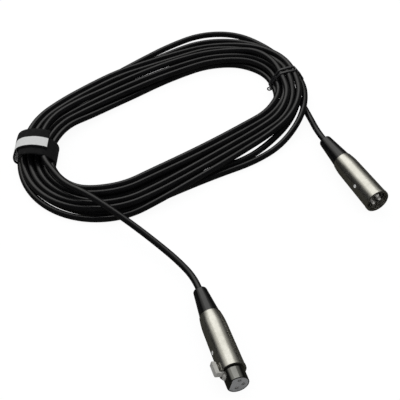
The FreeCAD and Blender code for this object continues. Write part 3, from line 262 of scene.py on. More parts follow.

# Where each pass of the cable lies: given where it shows, and a guess where it is covered.
# By share of a turn: how far out from the hank's middle line and how high the middle of the
# cable is, for passes 0, 1, 2 ...
LAY = {
    0: [(-1, 3.4), (-5.6, 3.2), (-10.6, 3.2), (-8, 7.3), (-2.7, 7.5), (5.2, 3.2), (7.9, 7.3),
        (10.6, 3.2), (6.4, 12), (2, 9), (-4, 12.2)],
    0.06: [(-1.8, 2.8), (-7.5, 2.8), (-13.3, 2.8), (-10.5, 7.3), (-4.7, 7.3), (6.5, 2.8),
        (11.2, 6), (15.2, 2.9), (5.5, 10.8), (1.5, 7.5), (-2, 11.8)],
    0.15: [(-4.5, 2.8), (-11, 2.8), (-17, 2.8), (-18.5, 7.6), (-13, 7.8), (9.2, 2.8), (14.8, 3),
        (23.6, 5), (4.2, 5.2), (-2.2, 7.8), (-7.8, 8.2)],
    0.2: [(-2, 2.8), (-7.5, 2.8), (-12.8, 3), (-13, 8.2), (-7.2, 8), (9.8, 2.8), (15.2, 2.9),
        (21.2, 3.5), (7.5, 7.4), (1.5, 7.6), (-3, 11.4)],
    0.25: [(-2.4, 2.8), (-8, 2.8), (-13.6, 3.2), (-10.5, 7.8), (-4.2, 7.6), (6.8, 2.8),
        (12.6, 2.8), (18.4, 3), (15.4, 7.8), (9.8, 7.8), (2, 8.4)],
    0.32: [(-3.2, 2.8), (-8.6, 2.8), (-12.6, 5.5), (-7, 7.8), (-1.6, 7.8), (2.4, 2.8),
        (7.8, 2.8), (13.2, 2.9), (14.2, 8), (9, 8), (2.8, 9.4)],
    0.34: [(-3.1, 3.8), (-8.4, 3.8), (-12, 8.4), (-6.5, 8.4), (-1.2, 8.4), (2.4, 3.8),
        (7.8, 3.8), (13.1, 3.8), (13.1, 8.4), (7.9, 8.4), (1.2, 10.4)],
    0.389: [(-2.7, 4), (-7.9, 4), (-10.6, 8.5), (-5.4, 8.5), (-0.2, 8.5), (2.5, 4), (7.7, 4),
        (12.9, 4), (10.3, 8.5), (5.1, 8.5), (-2.8, 13)],
    0.44: [(-2.9, 3.8), (-8.3, 3.8), (-9.6, 8.3), (-4.3, 8.3), (0.9, 8.3), (2.9, 3.8), (9, 3.8),
        (14.1, 3.8), (11.3, 8.3), (6.1, 8.3), (-4.1, 13)],
    0.5: [(-3.2, 3), (-8.8, 3), (-8.4, 8.1), (-3.1, 8), (2.1, 7.6), (3.4, 2.6), (10.5, 3.4),
        (15.5, 3), (12.5, 7.4), (7.2, 7.4), (-5.6, 12.9)],
    0.54: [(-3.7, 2.9), (-9.2, 2.9), (-8.8, 8), (-3.5, 8), (1.8, 7.4), (2.7, 2.5), (9.5, 3.2),
        (15.3, 2.9), (11.6, 7.3), (6.3, 7.4)],
    0.57: [(-4.2, 2.8), (-9.7, 2.8), (-9.2, 7.9), (-3.9, 7.9), (1.4, 7.3), (2, 2.3), (7.4, 2.8),
        (15.3, 2.8), (10.6, 7.2), (5.4, 7.4)],
    0.65: [(-10.6, 2.8), (-16.2, 2.9), (-18.3, 7.8), (-13, 7.5), (-5, 2.8), (0.5, 2.8), (6, 2.8),
        (11.6, 2.9), (4.4, 7.6), (-1.8, 7.6)],
    0.7: [(-11.2, 2.8), (-16.6, 3.2), (-18, 8.3), (-12.8, 7.9), (-5.8, 2.8), (-0.4, 2.8),
        (5.2, 2.8), (8.6, 6.6), (2.4, 7.5), (-3.2, 7.6)],
    0.75: [(-10.7, 2.8), (-16, 3), (-17, 8.2), (-11.5, 7.9), (-5, 2.8), (4.2, 2.8), (10.8, 2.9),
        (7.4, 7.6), (0.8, 7.6), (-5, 7.8)],
    0.775: [(-9.2, 2.8), (-14.5, 3), (-16.4, 8.2), (-11.1, 8), (-2.5, 2.8), (12.1, 2.8),
        (17.2, 2.8), (5.8, 7.6), (0.4, 7.6), (-5.1, 7.8)],
    0.8: [(-7.9, 2.8), (-13.3, 3.1), (-15.6, 8.2), (-10.4, 8), (-1.5, 2.8), (13.6, 2.8),
        (19.2, 2.8), (5.6, 7.6), (0.2, 7.6), (-5.1, 7.8)],
    0.8125: [(-7.8, 2.8), (-13.2, 3.1), (-15.1, 8.2), (-9.9, 8), (-1.8, 2.8), (8.8, 2.8),
        (18.3, 2.8), (5.7, 7.8), (0.4, 7.5), (-4.8, 7.8)],
    0.825: [(-7.6, 2.8), (-13, 3.1), (-14.6, 8.2), (-9.4, 7.9), (-2, 2.8), (5.6, 2.8),
        (17.4, 2.8), (5.8, 8), (0.6, 7.5), (-4.4, 7.8)],
    0.845: [(-7.5, 2.8), (-12.9, 3), (-14.2, 8.1), (-9.2, 7.9), (-1.9, 2.8), (6, 2.8),
        (11.9, 7.5), (5.2, 9.6), (0.4, 7.5), (-4.2, 8.6)],
    0.86: [(-7.5, 2.8), (-12.8, 2.9), (-12.3, 8), (-7.2, 7.9), (-0.6, 2.8), (8, 2.9), (8.8, 8),
        (6.4, 10.8), (2.6, 7.6), (-2.3, 9.4)],
    0.88: [(-7.4, 2.8), (-12.6, 2.8), (-11.8, 7.9), (-6.6, 7.9), (-1.2, 2.8), (5.4, 4.6),
        (7.2, 7.8), (5.6, 12), (-1.4, 7.9), (-4, 12.4)],
    0.9: [(-7.2, 2.8), (-12.4, 2.8), (-11.3, 7.9), (-6.2, 7.9), (-1.4, 5), (4.6, 8.2),
        (9.2, 5.4), (5.4, 13.2), (-0.2, 10), (-4.6, 12.8)],
    0.925: [(-7, 3.4), (-12.2, 3.4), (-10.2, 7.3), (-5, 7.2), (0.4, 8.6), (5.8, 7), (9.2, 3.4),
        (3.9, 12.6), (-1.4, 12.6), (-6.6, 12)],
    0.95: [(-7, 3.4), (-12.2, 3.4), (-9.8, 7.2), (-4.6, 7), (1.6, 8.6), (6.8, 7.3), (9.3, 3.4),
        (3.9, 13.1), (-2.2, 13.8), (-6.6, 11.5)],
}

# Where the cable leaves both boots, which way, and how far it runs straight from them
PLUG_REAR = np.array((82.8, -2.95, 7.903))
PLUG_AXIS = np.array((-0.171867, -0.984754, 0.026864))
PLUG_RUN = 10.5
SOCKET_REAR = np.array((-88.9, -65.15, 8.288))
SOCKET_AXIS = np.array((-0.333743, -0.942461, 0.019549))
SOCKET_RUN = 12
# Control points of the leads, from the hank to the boots, and the step to the first of them
MALE_LEAD = [(103.7, 55.25, 3.1), (94.5, 28.25, 2.65)]
FEMALE_LEAD = [(-105.7, 56.45, 17.8), (-99.2, 32.45, 16.2), (-92.7, 7.45, 13.2),
               (-88.0, -15.55, 10.6), (-85.2, -34.55, 9.0)]
CORNER_RUN = np.array((0.0, 16.0, 0.0))

# Quadratic spline: weights of three control points for places and headings between them
STEPS = 8
SHARE = np.arange(STEPS) / STEPS
WEIGHTS = np.stack([0.5 * (1 - SHARE) ** 2, 0.5 + SHARE - SHARE ** 2, 0.5 * SHARE ** 2], 1)
SLOPES = np.stack([SHARE - 1, 1 - 2 * SHARE, SHARE], 1)
# Keeps divisions by a length or a weight safe
TINY = 1e-9

# Settling of the turns. Limits: distance between two middles, distance from the solid's
# path, height of a middle
GAP = 5.04
FARTHEST = 9.5
HIGHEST = 17.5
# Rounds, pushes apart in each, and rounds from one search for neighbours to the next
ROUNDS = 100
PUSHES = 8
SEARCH_EVERY = 15
# Share of the way back to the table and towards even spacing in a round, and the share of
# all rounds in which each fades out
PULL, PULL_UNTIL = 0.15, 0.75
EVEN, EVEN_UNTIL = 0.02, 0.9
# Neighbours: nearer than this in plan, farther apart than this along the cable, and no more
# than this ahead or behind
REACH = 8.5
APART = 30.0
LEVEL = 1.6
# Points over which the table's moves fade in at both ends of the hank
FADE = 3
# Power of the number of pushes on a place by which they are shared
CROWDING = 0.7
# Places compared with all others at a time
BLOCK = 256


def between(marks, place):
    """Value on the straight lines through the marks."""
    return float(np.interp(place, [mark[0] for mark in marks], [mark[1] for mark in marks]))


def oval_side():
    """Distance of the tips' bend centres, radius of the sides, angle where they meet."""
    end_centre = HALF_LENGTH - END_RADIUS
    square = end_centre ** 2 + HALF_WIDTH ** 2 - END_RADIUS ** 2
    side_radius = square / (2 * (HALF_WIDTH - END_RADIUS))
    return end_centre, side_radius, math.atan2(side_radius - HALF_WIDTH, end_centre)


def solid_place(turn):
    """How far out and how high the tube of the solid lies at this turn."""
    offset = (between(RANKS, turn) - 2.5) * PITCH
    offset += between(NEAR_MARKS, turn) * NEAR_BOW + between(FAR_MARKS, turn) * FAR_BOW
    return offset, LOWEST + between(LAYERS, turn) * LAYER


def hank_point(eighth, share):
    """Point of the solid's path and its outward normal, so many eighths of a turn on."""
    end_centre, side_radius, shoulder = oval_side()
    offset, height = solid_place((eighth + share) / 8)
    if (eighth % 4) in (0, 3):
        angle = (eighth + share) * math.pi / 4
        on_end = True
    else:
        rising = eighth % 4 == 1
        along = share if rising else 1 - share
        end_run = (END_RADIUS + offset) * (shoulder - math.pi / 4)
        side_run = (side_radius + offset) * (math.pi / 2 - shoulder)
        travelled = along * (end_run + side_run)
        on_end = travelled <= end_run
        if on_end:
            lean = math.pi / 4 + travelled / (END_RADIUS + offset)
        else:
            lean = shoulder + (travelled - end_run) / (side_radius + offset)
        middle_angle = (eighth + (1 if rising else 0)) * math.pi / 4
        angle = middle_angle - (math.pi / 2 - lean) * (1 if rising else -1)
    normal = np.array((math.cos(angle), math.sin(angle), 0.0))
    if on_end:
        middle = np.array((math.copysign(end_centre, normal[0]), 0.0, height))
        radius = END_RADIUS
    else:
        middle = np.array((0.0, -math.copysign(side_radius - HALF_WIDTH, normal[1]), height))
        radius = side_radius
    return CENTRE + middle + normal * (radius + offset), normal


def hank_points():
    """Control points of the solid's path, their outward normals and their turns."""
    stations = []
    for eighth in range(int(TURNS * 8)):
        count = 4 if eighth % 4 in (1, 2) else 2
        stations += [(eighth, index / count) for index in range(count)]
    stations.append((int(TURNS * 8) - 1, 1.0))
    on_path = [hank_point(*station) for station in stations]
    points = np.array([point for point, normal in on_path])
    control = points.copy()
    control[1:-1] -= (points[:-2] - 2 * points[1:-1] + points[2:]) / 8
    turns = np.array([(eighth + share) / 8 for eighth, share in stations])
    return control, np.array([normal for point, normal in on_path]), turns


def cable_points():
    """Control points of the whole cable, with the hank's normals and turns."""
    hank, normals, turns = hank_points()
    start = [PLUG_REAR, PLUG_REAR - PLUG_AXIS * PLUG_RUN] + MALE_LEAD[::-1]
    start.append(hank[0] - CORNER_RUN)
    finish = [hank[-1] - CORNER_RUN] + FEMALE_LEAD
    finish += [SOCKET_REAR - SOCKET_AXIS * SOCKET_RUN, SOCKET_REAR]
    points = np.vstack([start, hank, finish])
    first, last = len(start), len(start) + len(hank) - 1
    outward = np.zeros_like(points)
    outward[first:last + 1] = normals
    return points, outward, turns, first, last


def on_spline(points):
    """Places and headings along the quadratic spline of these control points."""
    triples = np.stack([points[:-2], points[1:-1], points[2:]], 1)
    places = np.einsum("kc,mcd->mkd", WEIGHTS, triples).reshape(-1, 3)
    headings = np.einsum("kc,mcd->mkd", SLOPES, triples).reshape(-1, 3)
    return places, headings / (np.linalg.norm(headings, axis=1)[:, None] + TINY)


def to_points(moves, touched, count):
    """Share out moves of places along the spline among its control points."""
    moves = moves.reshape(-1, STEPS, 3)
    touched = touched.reshape(-1, STEPS)
    total, weight = np.zeros((count, 3)), np.zeros(count)
    for corner in range(3):
        part = WEIGHTS[:, corner][None, :] * touched
        total[corner:corner + count - 2] += (part[:, :, None] * moves).sum(1)
        weight[corner:corner + count - 2] += part.sum(1)
    return total / np.maximum(weight, TINY)[:, None]


def neighbours(places):
    """Pairs of places that lie near one another on different passes of the cable."""
    steps = np.linalg.norm(np.diff(places, axis=0), axis=1)
    along = np.concatenate([[0], np.cumsum(steps)])
    firsts, seconds = [], []
    for start in range(0, len(places), BLOCK):
        block = places[start:start + BLOCK, None, :2] - places[None, :, :2]
        one, two = np.nonzero(np.hypot(block[..., 0], block[..., 1]) < REACH)
        one = one + start
        keep = along[two] - along[one] > APART
        firsts.append(one[keep])
        seconds.append(two[keep])
    return np.concatenate(firsts), np.concatenate(seconds)


def lay_moves(turns):
    """How far the table moves each point of the hank, outwards and up."""
    marks = []
    for one_pass in range(math.ceil(TURNS)):
        for share in sorted(LAY):
            row = LAY[share]
            if one_pass < len(row) and one_pass + share <= TURNS:
                offset, height = solid_place(one_pass + share)
                move = np.array(row[one_pass]) - (offset, height)
                move *= min(1.0, FARTHEST / max(np.hypot(*move), TINY))
                marks.append((one_pass + share, move[0], move[1]))
    marks = np.array(marks)
    return (np.interp(turns, marks[:, 0], marks[:, 1]), np.interp(turns, marks[:, 0], marks[:, 2]))


def pushes_apart(places, headings, firsts, seconds):
    """Moves that part places of two passes that are too near, and how many act on each."""
    between_them = places[seconds] - places[firsts]
    ahead = (between_them * headings[firsts]).sum(1)
    level = np.abs(ahead) < LEVEL
    one, two = firsts[level], seconds[level]
    across = between_them[level] - ahead[level][:, None] * headings[one]
    distance = np.linalg.norm(across, axis=1)
    close = distance < GAP
    one, two, distance = one[close], two[close], distance[close]
    push = across[close] * (0.5 * (GAP / (distance + TINY) - 1))[:, None]
    moves, hits = np.zeros_like(places), np.zeros(len(places))
    np.add.at(moves, one, -push)
    np.add.at(moves, two, push)
    np.add.at(hits, one, 1)
    np.add.at(hits, two, 1)
    return moves / np.maximum(hits, 1)[:, None] ** CROWDING, hits


def settle():
    """Move the turns to where the table has them and push them apart till none touch."""
    points, outward, turns, first, last = cable_points()
    count = len(points)
    out_goal, up_goal = np.zeros(count), np.zeros(count)
    fade = np.clip(np.minimum(np.arange(count) - first, last - np.arange(count)) / FADE, 0, 1)
    out_goal[first:last + 1], up_goal[first:last + 1] = lay_moves(turns)
    out_goal, up_goal = out_goal * fade, up_goal * fade
    out, up = out_goal.copy(), up_goal.copy()
    free = np.zeros(count)
    free[first + 1:last] = 1
    for step in range(ROUNDS):
        pull = PULL * max(0, 1 - step / (ROUNDS * PULL_UNTIL)) * free
        out += pull * (out_goal - out)
        up += pull * (up_goal - up)
        even = EVEN * max(0, 1 - step / (ROUNDS * EVEN_UNTIL))
        for line in (out, up):
            line[1:-1] += even * (0.5 * (line[:-2] + line[2:]) - line[1:-1]) * free[1:-1]
        for repeat in range(PUSHES):
            moved = points + outward * out[:, None] + np.outer(up, (0, 0, 1))
            places, headings = on_spline(moved)
            if step % SEARCH_EVERY == 0 and repeat == 0:
                firsts, seconds = neighbours(places)
            moves, hits = pushes_apart(places, headings, firsts, seconds)
            height = places[:, 2] + moves[:, 2]
            moves[:, 2] += np.clip(height, RADIUS, HIGHEST) - height
            touched = (hits > 0) | (height < RADIUS) | (height > HIGHEST)
            shared = to_points(moves * touched[:, None], touched.astype(float), count)
            out += (shared * outward).sum(1) * free
            up += shared[:, 2] * free
            size = np.hypot(out, up)
            scale = np.where(size > FARTHEST, FARTHEST / np.maximum(size, TINY), 1.0)
            out *= scale
            up *= scale
    return [Vector(point) for point in moved]


def spline_object(name, points, radius, steps_along, steps_round):
    """Round tube along a quadratic spline with these control points, in millimetres.

    Blender's box round a curve takes in the radius of its points, so that is the tube's
    radius, and the bevel depth that multiplies it is 1.
    """
    data = bpy.data.curves.new(name, "CURVE")
    data.dimensions = "3D"
    data.bevel_depth = 1.0
    data.bevel_resolution = steps_round
    data.resolution_u = steps_along
    data.use_fill_caps = True
    spline = data.splines.new("NURBS")
    spline.points.add(len(points) - 1)
    for point, place in zip(spline.points, points):
        point.co = (place.x * MM, place.y * MM, place.z * MM, 1)
        point.radius = radius * MM
    spline.order_u = 3
    spline.use_endpoint_u = True
    return place_object(name, data)


def line_of(thing):
    """Points along the bare spline, in millimetres."""
    data = thing.data
    depth = data.bevel_depth
    data.bevel_depth = 0.0
    bare = bpy.data.meshes.new_from_object(thing)
    data.bevel_depth = depth
    return [vertex.co / MM for vertex in bare.vertices]


# Bands round the hank: the hook-and-loop strap and the twist tie

# A band's line is worked out in a plane across the hank, as pairs of how far out from a middle
# point on the floor and how high. It takes in the cable up to this far out, and keeps this
# much clear of the cable and the floor
BUNDLE_REACH = 45.0
SLACK = 0.05

STRAP_MIDDLE = (-104.1, 127.45, 0)
STRAP_ANGLE = math.radians(140)
STRAP_WIDTH = 20.0
STRAP_THICKNESS = 1.1
# Planes, along the hank, in which the strap has to clear the cable
STRAP_PLANES = (-9.5, 0, 9.5)
# Points that the strap goes round besides the cable, so that it stands off it in an arch
STRAP_ARCH = [(-12.9, 4.2), (-12.4, 8), (-10.6, 11.4), (-6.0, 14.2), (1.0, 15.4), (8.5, 14.2),
              (13.0, 11.4), (15.0, 8), (15.4, 4.2)]
# Step along the line, and rounds in which its corners are eased
STRAP_STEP = 0.8
STRAP_EASING = 12
# How far out the first layer starts and the second one ends, both on top: above this height
STRAP_START = 13.0
STRAP_STOP = -8.8
STRAP_TOP = 10.0
# Steps in which the second layer rises on the first, and the gap between the layers
STRAP_RISE = 10
LAYER_GAP = 0.15
# How far the first layer's start lies aside, and the steps in which that fades out
STRAP_SKEW = 7.0
SKEW_FADE = 60
# Pale stripe: its edges across the strap, and how far from the strap's end it starts and stops
STRIPE = (-0.8, 8.6)
STRIPE_LENGTH = 41.0
STRIPE_MARGIN = 0.4

TIE_MIDDLE = (108.06, 74.15, 0)
TIE_ANGLE = math.radians(-18)
TIE_WIDTH = 2.2
TIE_THICKNESS = 0.7
# Wraps: where each is along the hank, how far it sways from there, and at what angle that
# starts
TIE_WRAPS = [(-1.9, 0.9), (1.5, -0.7)]
SWAY_START = 1.0
# A wrap has to clear the cable in two planes, this far to both sides of it
TIE_PLANE = 2
TIE_STEP = 0.5
TIE_EASING = 8
# The ends leave at the wrap's corner inside the hank, found on a line of this slope, and this
# far inside it; their way along the hank, out and up
CORNER_SLOPE = 0.6
CORNER_DEPTH = 0.8
TIE_END_WAY = (-0.93, -0.22, -0.1)
# The two ends, twisted round each other; one goes on as a loop
TIE_END_RADIUS = 0.55
TIE_END_LENGTH = 9.0
TIE_END_START = 1.5
TIE_END_STEPS = 24
TWIST_RADIUS = 0.75
TWIST_ANGLE = 4.5 * math.pi
LOOP_RADIUS = 1.5
LOOP_ANGLE = 1.6 * math.pi
LOOP_STEPS = 12


def crossings(middle, way, out, shift):
    """Where the cable passes through a plane across the hank, as (outwards, up) pairs."""
    found = []
    for one, two in zip(cable_line, cable_line[1:]):
        before = (one - middle).dot(way) - shift
        after = (two - middle).dot(way) - shift
        if (before < 0) != (after < 0):
            place = one.lerp(two, before / (before - after)) - middle
            if abs(place.dot(out)) < BUNDLE_REACH:
                found.append((place.dot(out), place.z))
    return found


def tight_line(strands, radius):
    """Closed line pulled tight round circles of this radius, counter-clockwise."""
    dots = []
    for across, height in strands:
        for step in range(36):
            angle = math.radians(10 * step)
            dots.append((across + radius * math.cos(angle), height + radius * math.sin(angle)))
    dots = sorted(set(dots))
    sides = []
    for run in (dots, dots[::-1]):
        side = []
        for dot in run:
            while len(side) > 1:
                (ax, ay), (bx, by) = side[-2], side[-1]
                if (bx - ax) * (dot[1] - ay) - (by - ay) * (dot[0] - ax) > 0:
                    break
                side.pop()
            side.append(dot)
        sides += side[:-1]
    return np.array(sides)


def evenly(line, step):
    """The closed line again, at even steps."""
    closed = np.vstack([line, line[:1]])
    lengths = np.linalg.norm(np.diff(closed, axis=0), axis=1)
    along = np.concatenate([[0], np.cumsum(lengths)])
    count = int(along[-1] / step)
    marks = np.arange(count) * along[-1] / count
    return np.stack([np.interp(marks, along, closed[:, axis]) for axis in (0, 1)], 1)


def on_floor(line, thickness):
    """The closed line of a band's middle, raised where the band would dip into the floor."""
    return np.stack([line[:, 0], np.maximum(line[:, 1], thickness / 2 + SLACK)], 1)


def smoothed(line, rounds):
    """A closed line with its corners eased."""
    for repeat in range(rounds):
        line = 0.5 * line + 0.25 * (np.roll(line, 1, 0) + np.roll(line, -1, 0))
    return line


def outward_of(line):
    """Unit normals of a closed counter-clockwise line."""
    ahead = np.roll(line, -1, 0) - np.roll(line, 1, 0)
    ahead /= np.linalg.norm(ahead, axis=1)[:, None]
    return np.stack([ahead[:, 1], -ahead[:, 0]], 1)


def ribbon_mesh(name, centres, normals, shifts, width, thickness, middle, way, out):
    """Flat band with rounded edges through (outwards, up) stations; UVs run in millimetres."""
    half, edge = width / 2, thickness / 2
    flat_run, bends = width - thickness, (0.8, 1.57, 2.34)
    ring = [(-half + edge + flat_run * step / 10, edge) for step in range(11)]
    ring += [(half - edge + edge * math.sin(a), edge * math.cos(a)) for a in bends]
    ring += [(half - edge - flat_run * step / 10, -edge) for step in range(11)]
    ring += [(-half + edge - edge * math.sin(a), -edge * math.cos(a)) for a in bends]
    vertices, faces, marks = [], [], []
    travelled = 0.0
    for number, (centre, normal, shift) in enumerate(zip(centres, normals, shifts)):
        if number:
            travelled += float(np.linalg.norm(centre - centres[number - 1]))
        for across, lift in ring:
            flat = centre + normal * lift
            place = middle + out * flat[0] + UP * flat[1] + way * (across + shift)
            vertices.append(place * MM)
            marks.append((travelled, across))
    size = len(ring)
    for number in range(len(centres) - 1):
        for corner in range(size):
            after = (corner + 1) % size
            faces.append((number * size + corner, number * size + after,
                          (number + 1) * size + after, (number + 1) * size + corner))
    last = (len(centres) - 1) * size
    faces.append(tuple(range(size))[::-1])
    faces.append(tuple(last + corner for corner in range(size)))
    mesh = bpy.data.meshes.new(name)
    mesh.from_pydata(vertices, [], faces)
    mesh.validate()
    layer = mesh.uv_layers.new(name="weave")
    for loop in mesh.loops:
        layer.data[loop.index].uv = marks[loop.vertex_index]
    for polygon in mesh.polygons:
        polygon.use_smooth = len(polygon.vertices) == 4
    return mesh


def face_outward(mesh):
    """Turn all faces outward."""
    shape = bmesh.new()
    shape.from_mesh(mesh)
    bmesh.ops.recalc_face_normals(shape, faces=shape.faces)
    shape.to_mesh(mesh)
    shape.free()


def section(middle, angle):
    """A middle point and the ways along and out of the hank there."""
    out = Vector((math.cos(angle), math.sin(angle), 0))
    return Vector(middle), Vector((-out.y, out.x, 0)), out


def eased(share):
    """0 to 1, with a soft start and end."""
    share = min(1.0, max(0.0, share))
    return share * share * (3 - 2 * share)


def make_strap():
    """Tape once round the bundle and then over its own start, and the tape's length."""
    middle, way, out = section(STRAP_MIDDLE, STRAP_ANGLE)
    strands = []
    for shift in STRAP_PLANES:
        strands += crossings(middle, way, out, shift)
    line = tight_line(strands + STRAP_ARCH, RADIUS + SLACK + STRAP_THICKNESS / 2)
    line = on_floor(smoothed(evenly(line, STRAP_STEP), STRAP_EASING), STRAP_THICKNESS)
    normals = outward_of(line)
    below = 50 * (line[:, 1] < STRAP_TOP)
    start = int(np.argmin(np.abs(line[:, 0] - STRAP_START) + below))
    stop = int(np.argmin(np.abs(line[:, 0] - STRAP_STOP) + below))
    count = len(line)
    total = count + (stop - start) % count
    centres, outward, shifts = [], [], []
    for number in range(total + 1):
        place = (start + number) % count
        rise = eased((number - count + STRAP_RISE) / STRAP_RISE)
        centres.append(line[place] + normals[place] * rise * (STRAP_THICKNESS + LAYER_GAP))
        outward.append(normals[place])
        shifts.append(STRAP_SKEW * (1 - eased((number - count + SKEW_FADE) / SKEW_FADE)))
    mesh = ribbon_mesh("strap", centres, outward, shifts, STRAP_WIDTH, STRAP_THICKNESS,
                       middle, way, out)
    face_outward(mesh)
    length = sum(float(np.linalg.norm(b - a)) for a, b in zip(centres, centres[1:]))
    return place_object("strap", mesh), length


def tie_end(base, heading, phase, looped):
    """Mesh of one twisted end of the tie."""
    side = heading.cross(UP).normalized()
    lift = side.cross(heading)
    points = []
    for step in range(TIE_END_STEPS + 1):
        share = step / TIE_END_STEPS
        angle = phase + share * TWIST_ANGLE
        aside = TWIST_RADIUS * min(1, 4 * share + 0.3)
        points.append(base + heading * (share * TIE_END_LENGTH - TIE_END_START) +
                      (side * math.cos(angle) + lift * math.sin(angle)) * aside)
    if looped:
        tip = points[-1]
        for step in range(1, LOOP_STEPS + 1):
            angle = step / LOOP_STEPS * LOOP_ANGLE
            points.append(tip + heading * (LOOP_RADIUS * math.sin(angle)) +
                          side * (LOOP_RADIUS - LOOP_RADIUS * math.cos(angle)))
    tube = spline_object("tie_end", points, TIE_END_RADIUS, 4, 3)
    mesh = bpy.data.meshes.new_from_object(tube)
    bpy.data.objects.remove(tube)
    return mesh


def make_tie():
    """Two flat wraps round the bundle, their ends twisted together inside the hank."""
    middle, way, out = section(TIE_MIDDLE, TIE_ANGLE)
    meshes = []
    corners = []
    for wrap, sway in TIE_WRAPS:
        strands = crossings(middle, way, out, wrap - TIE_PLANE)
        strands += crossings(middle, way, out, wrap + TIE_PLANE)
        line = tight_line(strands, RADIUS + TIE_THICKNESS / 2 + SLACK)
        line = on_floor(smoothed(evenly(line, TIE_STEP), TIE_EASING), TIE_THICKNESS)
        normals = outward_of(line)
        line, normals = np.vstack([line, line[:1]]), np.vstack([normals, normals[:1]])
        shifts = [wrap + sway * math.sin(2 * math.pi * step / len(line) + SWAY_START)
                  for step in range(len(line))]
        meshes.append(ribbon_mesh("wrap", line, normals, shifts, TIE_WIDTH, TIE_THICKNESS,
                                  middle, way, out))
        corners.append(line[int(np.argmin(line[:, 0] - CORNER_SLOPE * line[:, 1]))])
    inner, height = corners[0]
    base = middle + out * (inner - CORNER_DEPTH) + UP * height
    along, outwards, upwards = TIE_END_WAY
    heading = (way * along + out * outwards + UP * upwards).normalized()
    meshes.append(tie_end(base, heading, 0.0, True))
    meshes.append(tie_end(base, heading, math.pi, False))
    shape = bmesh.new()
    for mesh in meshes:
        shape.from_mesh(mesh)
    joined = bpy.data.meshes.new("tie")
    bmesh.ops.recalc_face_normals(shape, faces=shape.faces)
    shape.to_mesh(joined)
    shape.free()
    for polygon in joined.polygons:
        polygon.use_smooth = True
    return place_object("tie", joined)


# Finishes

# Part of the noise's range that is spread over two tones or two values of roughness
NOISE_SPAN = (0.3, 0.7)


def new_material(name, colour, roughness, metallic=0.0, specular=0.5):
    """Material with its tree and its Principled shader."""
    material = bpy.data.materials.new(name)
    material.use_nodes = True
    shader = material.node_tree.nodes["Principled BSDF"]
    shader.inputs["Base Color"].default_value = opaque(colour)
    shader.inputs["Roughness"].default_value = roughness
    shader.inputs["Metallic"].default_value = metallic
    shader.inputs["Specular IOR Level"].default_value = specular
    return material, material.node_tree, shader


def add_noise(tree, scale, detail=4.0):
    """Noise in the object's own coordinates."""
    where = tree.nodes.new("ShaderNodeTexCoord")
    noise = tree.nodes.new("ShaderNodeTexNoise")
    noise.inputs["Scale"].default_value = scale
    noise.inputs["Detail"].default_value = detail
    tree.links.new(where.outputs["Object"], noise.inputs["Vector"])
    return noise.outputs["Fac"]


def vary_colour(tree, shader, factor, dark, light):
    """Base colour between two tones."""
    ramp = tree.nodes.new("ShaderNodeValToRGB")
    first, second = ramp.color_ramp.elements[0], ramp.color_ramp.elements[1]
    first.position, second.position = NOISE_SPAN
    first.color = opaque(dark)
    second.color = opaque(light)
    tree.links.new(factor, ramp.inputs["Fac"])
    tree.links.new(ramp.outputs["Color"], shader.inputs["Base Color"])


def vary_roughness(tree, shader, factor, low, high):
    """Roughness between two values."""
    tree.links.new(spread(tree, factor, *NOISE_SPAN, low, high), shader.inputs["Roughness"])


def add_bump(tree, shader, factor, strength, depth):
    """Fine relief of this depth in metres."""
    bump = tree.nodes.new("ShaderNodeBump")
    bump.inputs["Strength"].default_value = strength
    bump.inputs["Distance"].default_value = depth
    tree.links.new(factor, bump.inputs["Height"])
    tree.links.new(bump.outputs["Normal"], shader.inputs["Normal"])


def plastic(name, dark, light, low, high, grain, depth, specular):
    """Moulded plastic: a little uneven in tone and gloss, with a fine grain."""
    material, tree, shader = new_material(name, light, high, 0.0, specular)
    vary_colour(tree, shader, add_noise(tree, 60.0), dark, light)
    vary_roughness(tree, shader, add_noise(tree, 180.0), low, high)
    add_bump(tree, shader, add_noise(tree, grain), 0.5, depth)
    return material


def metal(name, dark, light, low, high, grain, depth, metallic):
    """Plated or bare metal: a little uneven in tone and gloss, with a very fine grain."""
    material, tree, shader = new_material(name, light, high, metallic)
    vary_colour(tree, shader, add_noise(tree, 90.0), dark, light)
    vary_roughness(tree, shader, add_noise(tree, 400.0, 6.0), low, high)
    add_bump(tree, shader, add_noise(tree, grain, 6.0), 0.4, depth)
    return material


def wave(tree, vector, axis, scale):
    """Bands across one axis."""
    node = tree.nodes.new("ShaderNodeTexWave")
    node.bands_direction = axis
    node.inputs["Scale"].default_value = scale
    node.inputs["Distortion"].default_value = 0.4
    tree.links.new(vector, node.inputs["Vector"])
    return node.outputs["Fac"]


def within(tree, value, low, high):
    """1 where the value is between the two numbers."""
    return maths(tree, "MULTIPLY", maths(tree, "GREATER_THAN", value, low),
                 maths(tree, "LESS_THAN", value, high))


def mix_colours(tree, blend, factor, first, second):
    """Mix Color node; the factor and the two colours are sockets or values."""
    node = tree.nodes.new("ShaderNodeMix")
    node.data_type = "RGBA"
    node.blend_type = blend
    for number, value in ((0, factor), (6, first), (7, second)):
        if isinstance(value, (int, float, tuple)):
            node.inputs[number].default_value = value
        else:
            tree.links.new(value, node.inputs[number])
    return node.outputs[2]


